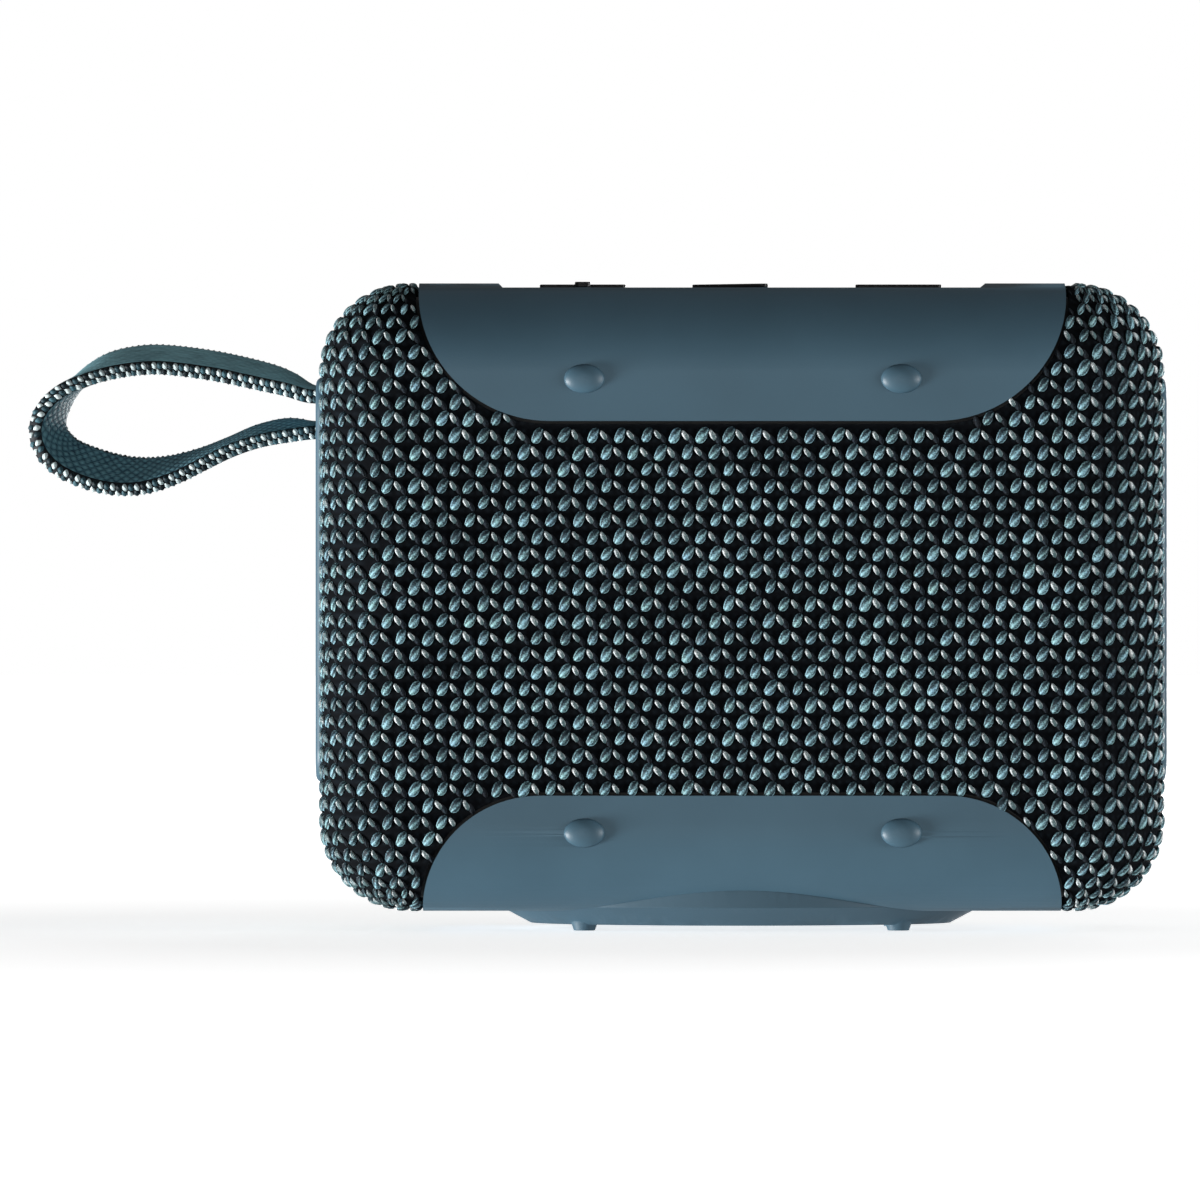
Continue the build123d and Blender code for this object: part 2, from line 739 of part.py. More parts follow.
with BuildPart() as driver_surround:
    with BuildSketch(Plane.XY.offset(box_mid_z)):
        with Locations((roll_mid_r, driver_front_y)):
            Circle(roll_r)
            Circle(roll_r - surround_t, mode=Mode.SUBTRACT)
        with Locations((roll_mid_r, driver_front_y)):
            Rectangle(4 * roll_r, 2 * roll_r, align=(Align.CENTER, Align.MIN), mode=Mode.SUBTRACT)
        with Locations((roll_mid_r + roll_r - surround_t, driver_front_y)):
            Rectangle(surround_lip, surround_t, align=(Align.MIN, Align.MAX))
    revolve(axis=driver_axis)
save(driver_surround.part, "driver_surround")

with BuildPart() as driver_cone:
    with BuildSketch(Plane.XY.offset(box_mid_z)):
        with BuildLine():
            Polyline(
                (cone_r, driver_front_y), (cone_r, driver_front_y + cone_t),
                (neck_r, cone_neck_y + cone_t), (neck_r, cone_neck_y), close=True)
        make_face()
    revolve(axis=driver_axis)
save(driver_cone.part, "driver_cone")

with BuildPart() as dust_cap:
    with BuildSketch(Plane.XY.offset(box_mid_z)):
        with Locations((0, cap_edge_y - cap_rise + cap_dome_r)):
            Circle(cap_dome_r + cap_t)
            Circle(cap_dome_r, mode=Mode.SUBTRACT)
        with Locations((0, cap_edge_y)):
            Rectangle(cap_r, cap_rise + cap_t, align=(Align.MIN, Align.MAX), mode=Mode.INTERSECT)
    revolve(axis=driver_axis)
save(dust_cap.part, "dust_cap")

with BuildPart() as voice_coil:
    with BuildSketch(Plane.XY.offset(box_mid_z)):
        with Locations((coil_r, cone_neck_y)):
            Rectangle(coil_t, coil_len, align=(Align.MIN, Align.MIN))
        with Locations((coil_r, cone_neck_y + coil_len)):
            Rectangle(coil_t + winding_t, winding_len, align=(Align.MIN, Align.MAX))
    revolve(axis=driver_axis)
save(voice_coil.part, "voice_coil")

with BuildPart() as spider:
    with BuildSketch(facing_front(0, spider_y, box_mid_z)):
        Circle(basket_base_r - basket_wall - seat_gap)
        Circle(neck_r + seat_gap, mode=Mode.SUBTRACT)
    extrude(amount=cone_t)
save(spider.part, "spider")

with BuildPart() as top_plate:
    with BuildSketch(facing_rear(0, plate_y, box_mid_z)):
        Circle(magnet_r)
        Circle(winding_r + coil_gap, mode=Mode.SUBTRACT)
    extrude(amount=top_plate_t)
save(top_plate.part, "top_plate")

with BuildPart() as magnet:
    with BuildSketch(facing_rear(0, magnet_y, box_mid_z)):
        Circle(magnet_r)
        Circle(magnet_hole_r, mode=Mode.SUBTRACT)
    extrude(amount=magnet_t)
save(magnet.part, "magnet")

with BuildPart() as yoke:
    with BuildSketch(facing_rear(0, yoke_y, box_mid_z)):
        Circle(magnet_r)
    extrude(amount=yoke_t)
    with BuildSketch(facing_front(0, yoke_y, box_mid_z)):
        Circle(coil_r - coil_gap)
    extrude(amount=yoke_y - plate_y)
save(yoke.part, "yoke")

# ---- Passive radiator on the rear of the box ----------------------------------------------
with BuildPart() as radiator_frame:
    with BuildSketch(facing_rear(0, box_back_y, box_mid_z)):
        RectangleRounded(radiator_w, radiator_h, radiator_r + radiator_lip)
        RectangleRounded(radiator_open_w, radiator_open_h, radiator_r, mode=Mode.SUBTRACT)
    extrude(amount=radiator_frame_t)
save(radiator_frame.part, "radiator_frame")

with BuildPart() as radiator_surround:
    with BuildSketch(facing_rear(0, radiator_y, box_mid_z)):
        RectangleRounded(
            radiator_open_w + 2 * radiator_lip, radiator_open_h + 2 * radiator_lip, radiator_r + radiator_lip)
        SlotOverall(radiator_plate_w + 2 * seat_gap, radiator_plate_h + 2 * seat_gap, mode=Mode.SUBTRACT)
    extrude(amount=radiator_skin_t)
    with BuildSketch(facing_rear(0, radiator_y + radiator_skin_t, box_mid_z)):
        SlotOverall(radiator_plate_w + 2 * bead_out, radiator_plate_h + 2 * bead_out)
        SlotOverall(radiator_plate_w + 2 * bead_in, radiator_plate_h + 2 * bead_in, mode=Mode.SUBTRACT)
    extrude(amount=radiator_bead_h)
    fillet(radiator_surround.faces().sort_by(Axis.Y)[-1].edges(), radiator_bead_w / 3)
save(radiator_surround.part, "radiator_surround")

with BuildPart() as radiator_plate:
    with BuildSketch(facing_rear(0, radiator_y + radiator_skin_t / 2 - radiator_plate_t / 2, box_mid_z)):
        SlotOverall(radiator_plate_w, radiator_plate_h)
    extrude(amount=radiator_plate_t)
save(radiator_plate.part, "radiator_plate")

# ---- Battery and main board ---------------------------------------------------------------
with BuildPart() as battery_cell:
    with BuildSketch(facing_side(-1, cell_x1, box_inner_y, box_mid_z)):
        RectangleRounded(cell_d, cell_h, cell_round)
    extrude(amount=cell_t)
save(battery_cell.part, "battery_cell")

with BuildPart() as battery_pad:
    with BuildSketch(facing_side(1, cell_x1, box_inner_y, box_mid_z)):
        Rectangle(cell_d - 2 * cell_round, cell_h - 2 * cell_round)
    extrude(amount=pad_t)
save(battery_pad.part, "battery_pad")

with BuildPart() as main_board:
    with BuildSketch(facing_side(1, main_out_x, box_inner_y, box_mid_z)):
        RectangleRounded(main_d, main_h, 1)
        with GridLocations(2 * main_screw_y, 2 * main_screw_z, 2, 2):
            Circle(screw_way_r, mode=Mode.SUBTRACT)
    extrude(amount=main_t)
save(main_board.part, "main_board")

with BuildPart() as board_chips:
    for chip_y, chip_dz, chip_w, chip_h, chip_t in chips:
        with BuildSketch(facing_side(1, main_in_x, box_inner_y + chip_y, box_mid_z + chip_dz)):
            Rectangle(chip_w, chip_h)
        extrude(amount=chip_t)
save(board_chips.part, "board_chips")

with BuildPart() as board_header:
    with BuildSketch(facing_side(-1, main_out_x, box_inner_y, box_mid_z)):
        Rectangle(header_d, header_h)
    extrude(amount=box_half_w + board_lift + main_out_x)
save(board_header.part, "board_header")

# ---- Key board, switches and top keys -----------------------------------------------------
with BuildPart() as key_board:
    with BuildSketch(Plane.XY.offset(key_board_z)):
        RectangleRounded(key_board_w, key_board_d, 1)
        with Locations((0, -key_screw_y)):
            with GridLocations(2 * key_screw_x, 1, 2, 1):
                Circle(screw_way_r, mode=Mode.SUBTRACT)
    extrude(amount=board_t)
save(key_board.part, "key_board")

with BuildPart() as key_switches:
    for name, key_x in top_keys:
        with BuildSketch(Plane((key_x, 0, switch_z))):
            Rectangle(switch_w, switch_w)
        extrude(amount=switch_h)
        with BuildSketch(Plane((key_x, 0, switch_z + well_floor))):
            Circle(plunger_r + plunger_gap)
        extrude(amount=switch_h, mode=Mode.SUBTRACT)
save(key_switches.part, "key_switches")

for name, key_x in top_keys:
    with BuildPart() as top_key:
        with BuildSketch(Plane((key_x, 0, flange_top_z - flange_t))):
            RectangleRounded(flange_w, flange_w, bar_w / 2)
        extrude(amount=flange_t)
        with BuildSketch(Plane((key_x, 0, flange_top_z))):
            draw_key(name, 0)
        extrude(amount=plinth_top_z - flange_top_z)
        with BuildSketch(Plane((key_x, 0, plunger_top_z))):
            Circle(nib_r)
        extrude(amount=flange_top_z - flange_t - plunger_top_z)
    save(top_key.part, f"{name}_key")

    with BuildPart() as symbol:
        with BuildSketch(Plane((key_x, 0, plinth_top_z))):
            draw_key(name, 0)
        extrude(amount=symbol_h)
        if name == "plus":
            with BuildSketch(Plane((key_x, 0, plinth_top_z))):
                RectangleRounded(bar_w, bar_len, bar_end_r)
            extrude(amount=symbol_h + cross_rise)
    save(symbol.part, f"{name}_symbol")

    with BuildPart() as plunger:
        with BuildSketch(Plane((key_x, 0, plunger_top_z))):
            Circle(plunger_r)
        extrude(amount=-plunger_out - plunger_in)
    save(plunger.part, f"{name}_plunger")

# ---- Side board with its keys, lens and charge socket -------------------------------------
with BuildPart() as side_board:
    with BuildSketch(facing_side(-1, board_t - side_board_face, 0, side_mid_z)):
        RectangleRounded(side_board_w, side_board_h, 1)
        with GridLocations(1, 2 * side_board_screw_dz, 1, 2):
            Circle(screw_way_r, mode=Mode.SUBTRACT)
    extrude(amount=board_t)
save(side_board.part, "side_board")

with BuildPart() as side_switches:
    for name, key_z in side_keys:
        with BuildSketch(facing_side(-1, -side_board_face, 0, key_z)):
            Rectangle(switch_w, switch_w)
        extrude(amount=switch_h)
        with BuildSketch(facing_side(-1, -side_board_face - well_floor, 0, key_z)):
            Circle(plunger_r + plunger_gap)
        extrude(amount=switch_h, mode=Mode.SUBTRACT)
save(side_switches.part, "side_switches")

for name, key_z in side_keys:
    with BuildPart() as side_key:
        with BuildSketch(facing_side(-1, -side_plunger_face, 0, key_z)):
            Circle(nib_r)
        extrude(amount=side_flange_face - flange_t - side_plunger_face)
        with BuildSketch(facing_side(-1, flange_t - side_flange_face, 0, key_z)):
            Circle(side_flange_r)
        extrude(amount=flange_t)
        with BuildSketch(facing_side(-1, -side_flange_face, 0, key_z)):
            Circle(side_key_r)
        extrude(amount=side_face - side_key_sink - side_flange_face)
        fillet(side_key.faces().sort_by(Axis.X)[0].edges(), key_gap)
    save(side_key.part, f"{name}_key")

    with BuildPart() as plunger:
        with BuildSketch(facing_side(-1, -side_plunger_face, 0, key_z)):
            Circle(plunger_r)
        extrude(amount=-plunger_out - plunger_in)
    save(plunger.part, f"{name}_plunger")

with BuildPart() as status_lens:
    with BuildSketch(facing_side(-1, -side_board_face - seat_gap, 0, side_mid_z + lens_dz)):
        Circle(lens_r)
    extrude(amount=side_face - 2 * seat_gap - side_board_face)
    with BuildSketch(facing_side(-1, flange_t - side_flange_face, 0, side_mid_z + lens_dz)):
        Circle(2 * lens_r)
    extrude(amount=flange_t)
save(status_lens.part, "status_lens")

with BuildPart() as socket_shell:
    with BuildSketch(facing_side(-1, -side_board_face, 0, side_mid_z + socket_dz)):
        SlotOverall(socket_l, socket_w, rotation=90)
        SlotOverall(socket_open_l, socket_open_w, rotation=90, mode=Mode.SUBTRACT)
    extrude(amount=side_face - socket_sink - side_board_face)
save(socket_shell.part, "socket_shell")

with BuildPart() as socket_insert:
    with BuildSketch(facing_side(-1, -side_board_face, 0, side_mid_z + socket_dz)):
        SlotOverall(socket_open_l - 2 * pin_fit, socket_open_w - 2 * pin_fit, rotation=90)
    extrude(amount=insert_t)
    with BuildSketch(facing_side(-1, -side_board_face, 0, side_mid_z + socket_dz)):
        Rectangle(tongue_t, tongue_l)
    extrude(amount=side_face - socket_sink - tongue_sink - side_board_face)
save(socket_insert.part, "socket_insert")

with BuildPart() as socket_seal:
    with BuildSketch(facing_side(-1, seat_gap - side_under, 0, side_mid_z + socket_dz)):
        SlotOverall(socket_l + 2 * seal_wall, socket_w + 2 * seal_wall, rotation=90)
        SlotOverall(socket_l + 2 * seat_gap, socket_w + 2 * seat_gap, rotation=90, mode=Mode.SUBTRACT)
    extrude(amount=-shell_t)
save(socket_seal.part, "socket_seal")

# ---- Screws -------------------------------------------------------------------------------
with BuildPart() as case_screws:
    for x in (post_x, -post_x):
        for z in (mid_z + post_dz, mid_z - post_dz):
            set_screw(facing_front(x, case_seat_y, z), case_screw_len)
save(case_screws.part, "case_screws")

with BuildPart() as box_screws:
    for sign in (1, -1):
        for z_sign in (1, -1):
            set_screw(
                facing_front(sign * box_boss_x, baffle_front_y, box_mid_z + z_sign * box_boss_dz),
                box_screw_len)
            set_screw(
                facing_front(sign * driver_screw_x, driver_front_y, box_mid_z + z_sign * driver_screw_z),
                box_screw_len)
save(box_screws.part, "box_screws")

with BuildPart() as board_screws:
    for y in (box_inner_y + main_screw_y, box_inner_y - main_screw_y):
        for z in (box_mid_z + main_screw_z, box_mid_z - main_screw_z):
            set_screw(facing_side(1, main_in_x, y, z), board_screw_len)
    for z in (side_mid_z + side_board_screw_dz, side_mid_z - side_board_screw_dz):
        set_screw(facing_side(-1, -side_board_face, 0, z), board_screw_len)
    for x in (key_screw_x, -key_screw_x):
        set_screw(Plane((x, -key_screw_y, switch_z)), board_screw_len)
save(board_screws.part, "board_screws")

# ---- Leads and ribbon inside the box ------------------------------------------------------
with BuildPart() as driver_leads:
    for lane in (0, 1):
        lead_z = box_mid_z - driver_lead_drop + lane * lead_pitch
        with BuildLine():
            route = FilletPolyline(
                (main_in_x + 2 * lead_r, magnet_y + lead_drop_in, lead_z),
                (lead_turn_x, magnet_y + lead_drop_in, lead_z),
                (lead_turn_x, plate_y - lead_drop_in / 3, lead_z),
                (lead_end_x, plate_y - lead_drop_in / 3, lead_z), radius=lead_bend)
        with BuildSketch(Plane(origin=route @ 0, z_dir=route % 0)):
            Circle(lead_r)
        sweep()
save(driver_leads.part, "driver_leads")

with BuildPart() as battery_leads:
    for lane in (1, 2):
        lead_y = box_inner_y + lane * lead_pitch - lead_r
        with BuildLine():
            route = FilletPolyline(
                (cell_x1 - cell_t / 2, lead_y, box_mid_z + cell_h / 2),
                (cell_x1 - cell_t / 2, lead_y, box_z1 - box_wall - lead_bend),
                (main_in_x + 2 * lead_r, lead_y, box_z1 - box_wall - lead_bend),
                (main_in_x + 2 * lead_r, lead_y, box_mid_z + main_h / 2 - lead_r), radius=lead_bend - lead_r)
        with BuildSketch(Plane(origin=route @ 0, z_dir=route % 0)):
            Circle(lead_r)
        sweep()
save(battery_leads.part, "battery_leads")

with BuildPart() as key_ribbon:
    ribbon_z = key_board_z - ribbon_t
    ribbon_x = main_out_x - ribbon_t - seat_gap
    with BuildSketch(Plane.XZ.offset(-ribbon_y - ribbon_w / 2)):
        with BuildLine():
            Polyline(
                (-key_screw_x + standoff_r, key_board_z), (ribbon_x, key_board_z),
                (ribbon_x, box_mid_z + main_h / 2 - 2), (ribbon_x + ribbon_t, box_mid_z + main_h / 2 - 2),
                (ribbon_x + ribbon_t, ribbon_z), (-key_screw_x + standoff_r, ribbon_z), close=True)
        make_face()
    extrude(amount=ribbon_w)
save(key_ribbon.part, "key_ribbon")

# ---- Wrist strap and its pin --------------------------------------------------------------
with BuildPart() as strap_pin:
    with BuildSketch(facing_front(pin_x, strap_w / 2 + ear_gap + ear_t, pin_z)):
        Circle(pin_r)
    extrude(amount=strap_w + 2 * ear_gap + 2 * ear_t)
save(strap_pin.part, "strap_pin")

with BuildPart() as wrist_strap:
    with BuildSketch(facing_front(pin_x, strap_w / 2, pin_z)) as band:
        with BuildLine():
            FilletPolyline(
                (-strap_leg, strap_leg), (strap_upper_run, strap_leg), *strap_route,
                (strap_lower_run, -strap_leg), (-strap_leg, -strap_leg),
                radius=[strap_leg - 0.01, *strap_bends, strap_leg - 0.01], close=True)
        middle = make_face()
        offset(middle, amount=strap_t / 2)
        offset(middle, amount=-strap_t / 2, mode=Mode.SUBTRACT)
    extrude(amount=strap_w)
save(wrist_strap.part, "wrist_strap")
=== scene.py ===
"""Looks of a pocket wireless speaker: woven sleeve, soft-touch panels, keys and a braided wrist strap.

The frame holds the real parts in metres: +Z up, -Y the front, +X the strap side. This script
dresses them, weaves the cloth and braids the strap, and never moves or resizes a part.
"""
from __future__ import annotations

import json
import logging
import math
from dataclasses import dataclass
from enum import Enum
from typing import Iterable, Union

import bmesh
import bpy
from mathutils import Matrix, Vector
from mathutils.bvhtree import BVHTree

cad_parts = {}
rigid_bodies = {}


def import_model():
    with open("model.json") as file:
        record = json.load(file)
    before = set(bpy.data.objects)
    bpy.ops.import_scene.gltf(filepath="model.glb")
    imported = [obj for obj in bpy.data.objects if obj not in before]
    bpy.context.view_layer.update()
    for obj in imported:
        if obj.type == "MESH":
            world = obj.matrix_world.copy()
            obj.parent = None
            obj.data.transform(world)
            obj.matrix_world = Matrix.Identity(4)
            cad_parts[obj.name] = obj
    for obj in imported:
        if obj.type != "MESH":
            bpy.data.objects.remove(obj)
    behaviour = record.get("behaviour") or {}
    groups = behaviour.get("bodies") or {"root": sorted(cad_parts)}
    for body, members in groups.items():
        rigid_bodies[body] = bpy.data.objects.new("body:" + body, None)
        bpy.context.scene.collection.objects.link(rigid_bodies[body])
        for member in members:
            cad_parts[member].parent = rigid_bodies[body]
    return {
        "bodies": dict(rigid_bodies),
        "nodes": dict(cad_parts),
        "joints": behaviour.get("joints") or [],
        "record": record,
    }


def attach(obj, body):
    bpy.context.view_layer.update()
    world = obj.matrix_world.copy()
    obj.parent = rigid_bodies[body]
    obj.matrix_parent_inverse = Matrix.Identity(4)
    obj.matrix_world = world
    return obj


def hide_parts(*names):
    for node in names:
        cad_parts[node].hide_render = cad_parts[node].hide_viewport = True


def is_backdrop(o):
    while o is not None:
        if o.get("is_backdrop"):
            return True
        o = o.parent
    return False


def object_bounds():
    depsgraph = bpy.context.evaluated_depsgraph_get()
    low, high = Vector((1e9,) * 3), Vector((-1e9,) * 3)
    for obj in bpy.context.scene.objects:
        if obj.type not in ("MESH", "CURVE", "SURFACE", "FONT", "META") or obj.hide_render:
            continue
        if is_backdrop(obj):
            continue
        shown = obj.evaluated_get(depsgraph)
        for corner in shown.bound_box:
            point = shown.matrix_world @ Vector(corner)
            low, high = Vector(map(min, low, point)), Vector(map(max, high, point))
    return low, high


MM = 0.001
SHARP_EDGE = math.radians(32)
FLAT_EDGE = math.radians(0.4)
LOG = logging.getLogger("speaker")

Piece = bpy.types.Object
Material = bpy.types.Material
Socket = bpy.types.NodeSocket
Value = Union[float, "Signal"]
Colour = tuple[float, float, float]


def srgb(red: int, green: int, blue: int) -> Colour:
    """A display colour, each channel 0 to 255, as linear light."""
    def linear(channel: int) -> float:
        """One display channel as linear light."""
        share = channel / 255
        return share / 12.92 if share <= 0.04045 else ((share + 0.055) / 1.055) ** 2.4
    return linear(red), linear(green), linear(blue)


def maths(operation: str, swapped: bool = False):
    """Make an operator method that adds one Math node.

    Args:
        operation: the node's operation.
        swapped: whether the other value comes first.

    Returns:
        A method for Signal.
    """
    def apply(self: "Signal", other: Value) -> "Signal":
        """Join this signal and another value."""
        first, second = (other, self) if swapped else (self, other)
        return self.board.node("ShaderNodeMath", {"operation": operation}, {0: first, 1: second})[0]
    return apply


class Signal:
    """A shader socket that answers to Python's operators with Math nodes."""

    __add__ = __radd__ = maths("ADD")
    __mul__ = __rmul__ = maths("MULTIPLY")
    __sub__ = maths("SUBTRACT")
    __rsub__ = maths("SUBTRACT", swapped=True)
    __pow__ = maths("POWER")
    __gt__ = maths("GREATER_THAN")

    def __init__(self, board: "Board", socket: Socket) -> None:
        """Wrap one output socket of a board's tree."""
        self.board = board
        self.socket = socket

    def sine(self) -> "Signal":
        """Sine of the signal, in radians."""
        return self.board.node("ShaderNodeMath", {"operation": "SINE"}, {0: self})[0]

    def held(self) -> "Signal":
        """The signal kept between nought and one."""
        return self.board.node(
            "ShaderNodeMath", {"operation": "ADD", "use_clamp": True}, {0: self, 1: 0.0})[0]


class Board:
    """One material's node tree, built piece by piece."""

    def __init__(self, name: str) -> None:
        """Start a material with its shader and output."""
        self.material = bpy.data.materials.new(name)
        self.material.use_nodes = True
        self.tree = self.material.node_tree
        self.tree.nodes.clear()
        output = self.tree.nodes.new("ShaderNodeOutputMaterial")
        self.shader = self.tree.nodes.new("ShaderNodeBsdfPrincipled")
        self.tree.links.new(self.shader.outputs[0], output.inputs[0])

    def node(self, kind: str, settings: dict, inputs: dict) -> list[Signal]:
        """Add a node.

        Args:
            kind: the node's type.
            settings: properties to set first.
            inputs: values or signals, by socket name or place.

        Returns:
            One signal for each of the node's outputs.
        """
        made = self.tree.nodes.new(kind)
        for name, value in settings.items():
            setattr(made, name, value)
        for name, value in inputs.items():
            self.feed(made.inputs[name], value)
        return [Signal(self, socket) for socket in made.outputs]

    def feed(self, socket: Socket, value) -> None:
        """Link a signal to a socket, or set the socket's own value."""
        if isinstance(value, Signal):
            self.tree.links.new(value.socket, socket)
        elif isinstance(value, tuple) and socket.type == "RGBA":
            socket.default_value = (*value, 1.0)
        else:
            socket.default_value = value

    def mix(self, share: Value, first, second) -> Signal:
        """Blend two colours."""
        return self.node(
            "ShaderNodeMix", {"data_type": "RGBA"}, {0: share, 6: first, 7: second})[2]

    def place(self) -> Signal:
        """Object coordinates, in metres in the frame."""
        return self.node("ShaderNodeTexCoord", {}, {})[3]

    def unwrapped(self) -> tuple[Signal, Signal]:
        """The piece's own UV map, as two signals."""
        parts = self.node("ShaderNodeSeparateXYZ", {}, {0: self.node("ShaderNodeUVMap", {}, {})[0]})
        return parts[0], parts[1]

    def noise(self, scale: float, detail: float = 2.0, where: Signal | None = None) -> Signal:
        """Soft noise in Object coordinates; scale is in cycles per metre."""
        return self.node(
            "ShaderNodeTexNoise", {},
            {"Vector": where or self.place(), "Scale": scale, "Detail": detail})[0]

    def trait(self, name: str) -> Signal:
        """A number that the mesh carries, such as a yarn's tone."""
        return self.node("ShaderNodeAttribute", {"attribute_name": name}, {})[2]

    def bump(self, height: Value, strength: float, depth: float) -> None:
        """Raise the surface by a height signal."""
        normal = self.node(
            "ShaderNodeBump", {}, {"Height": height, "Strength": strength, "Distance": depth})[0]
        self.feed(self.shader.inputs["Normal"], normal)

    def finish(self, **sockets) -> Material:
        """Feed the shader's sockets, named with underscores, and return the material."""
        for name, value in sockets.items():
            self.feed(self.shader.inputs[name.replace("_", " ")], value)
        return self.material


@dataclass(frozen=True)
class SoftTouch:
    """Matt soft-touch plastic or rubber with a faint fine grain and slight wear."""

    name: str
    colour: Colour
    roughness: float = 0.46
    grain: float = 0.05

    def make(self) -> Material:
        """Build the material."""
        board = Board(self.name)
        cloud = board.noise(70.0, 3.0)
        grit = board.noise(5200.0, 1.0)
        worn = tuple(min(1.0, channel * 1.22 + 0.004) for channel in self.colour)
        deep = tuple(channel * 0.86 for channel in self.colour)
        base = board.mix(cloud, deep, worn)
        board.bump(grit, self.grain * 2, 0.00006)
        return board.finish(
            Base_Color=base,
            Roughness=self.roughness + (cloud - 0.5) * 0.12 + (grit - 0.5) * 0.08)


@dataclass(frozen=True)
class Yarn:
    """Twisted filament yarn; each stitch carries its own tone, with painted light: one end painted
    lit, the other shaded, and pale streaks painted as highlights.
    """

    name: str
    shade: Colour
    light: Colour
    other: Colour
    streaks: float = 4.0
    roughness: float = 0.42
    # painted light: how much lighter one end of each stitch is painted than the other
    painted_end_light: float = 0.7

    def make(self) -> Material:
        """Build the material."""
        board = Board(self.name)
        around, along = board.unwrapped()
        tone = board.trait("tone")
        lines = ((around * (2 * math.pi * self.streaks) + along * 5.0).sine() * 0.5 + 0.5).held()
        fuzz = board.noise(7000.0, 2.0)
        hue = board.noise(900.0, 1.0)
        # painted light: each stitch is painted lighter at one end and darker at the other, and its
        # streaks pale as highlights
        share = (tone * 0.5 + lines * 0.55 + (fuzz - 0.5) * 1.7
                 + (0.5 - along) * self.painted_end_light).held() ** 2.5
        board.bump(lines + fuzz * 0.6, 0.9, 0.00012)
        # the pale colours stand for the yarn's paler fibres and its painted highlight together
        light = board.mix(hue, self.light, self.other)
        return board.finish(
            Base_Color=board.mix(share, self.shade, light),
            Roughness=self.roughness + (1 - lines) * 0.2, Specular_IOR_Level=0.35)


@dataclass(frozen=True)
class ShadeGroundCloth:
    """The ground of the weave between the raised stitches, painted near black as the shade that falls
    between them.
    """

    name: str
    ground: Colour
    thread: Colour

    def make(self) -> Material:
        """Build the material."""
        board = Board(self.name)
        parts = board.node("ShaderNodeSeparateXYZ", {}, {0: board.place()})
        warp = ((parts[0] + parts[1]) * 7000.0).sine() * 0.5 + 0.5
        weft = (parts[2] * 7000.0).sine() * 0.5 + 0.5
        weave = (warp * weft).held()
        board.bump(weave, 0.5, 0.0001)
        # painted shade: the ground colour is near black for the shade between the stitches
        return board.finish(
            Base_Color=board.mix(weave * board.noise(1500.0), self.ground, self.thread), Roughness=0.9,
            Specular_IOR_Level=0.12)


@dataclass(frozen=True)
class Braid:
    """Smooth face of the flat braid: fine slanted plaits that run with the band. Its edge strip is
    painted dark as the shade in the gaps between the plait ends.
    """

    name: str
    shade: Colour
    light: Colour
    rim: Colour

    def make(self) -> Material:
        """Build the material."""
        board = Board(self.name)
        run, across = board.unwrapped()
        inner = board.trait("inner")
        up = ((run * 6.4 + across * 4.6).sine() * 0.5 + 0.5).held()
        down = ((run * 6.4 - across * 4.6).sine() * 0.5 + 0.5).held()
        plait = (up * down) ** 0.5
        stretched = board.node(
            "ShaderNodeCombineXYZ", {}, {0: run * 0.22 + across * 0.05, 1: across * 2.4})[0]
        fibre = board.noise(2.2, 3.0, stretched)
        patch = board.noise(300.0, 2.0)
        outer = fibre * 1.5 - 0.08 + (patch - 0.5) * 0.7 + plait * 0.12
        dots = plait * 0.42 + (fibre - 0.5) * 0.9 + 0.08
        share = (outer + inner * (dots - outer)).held()
        # painted shade: a dark strip along both edges, for the shade in the gaps between the plait
        # ends
        rim = across * across > 7.4
        board.bump(plait * (0.25 + inner * 0.6) + fibre * 0.8, 0.5, 0.00014)
        return board.finish(
            Base_Color=board.mix(rim, board.mix(share, self.shade, self.light), self.rim),
            Roughness=0.66 - plait * 0.1, Specular_IOR_Level=0.3)


@dataclass(frozen=True)
class EdgePick:
    """Plait ends along the strap's edges: black, teal or pale, as each one's tone says."""

    name: str
    dark: Colour
    middle: Colour
    pale: Colour

    def make(self) -> Material:
        """Build the material."""
        board = Board(self.name)
        around, along = board.unwrapped()
        tone = board.trait("tone")
        lines = (around * (2 * math.pi * 5.0)).sine() * 0.5 + 0.5
        low = board.mix((tone * 2.0).held(), self.dark, self.middle)
        full = board.mix((tone * 2.0 - 1.0).held(), low, self.pale)
        worn = board.mix(lines * 0.1, full, self.middle)
        board.bump(lines, 0.5, 0.00006)
        return board.finish(
            Base_Color=worn, Roughness=0.5 + (1 - along) * 0.1, Specular_IOR_Level=0.3)


@dataclass(frozen=True)
class Metal:
    """Plated or sintered metal with fine brush lines."""

    name: str
    colour: Colour
    roughness: float = 0.32
    metallic: float = 1.0

    def make(self) -> Material:
        """Build the material."""
        board = Board(self.name)
        brushed = board.noise(2600.0, 2.0)
        board.bump(brushed, 0.08, 0.00004)
        dull = tuple(channel * 0.8 for channel in self.colour)
        return board.finish(
            Base_Color=board.mix(brushed, dull, self.colour), Metallic=self.metallic,
            Roughness=self.roughness + (brushed - 0.5) * 0.2)


@dataclass(frozen=True)
class Glossy:
    """Moulded gloss plastic, film or solder mask with faint unevenness."""

    name: str
    colour: Colour
    roughness: float = 0.22

    def make(self) -> Material:
        """Build the material."""
        board = Board(self.name)
        cloud = board.noise(160.0, 2.0)
        pale = tuple(min(1.0, channel * 1.15 + 0.01) for channel in self.colour)
        return board.finish(
            Base_Color=board.mix(cloud, self.colour, pale),
            Roughness=self.roughness + (cloud - 0.5) * 0.1, Coat_Weight=0.3, Coat_Roughness=0.1)


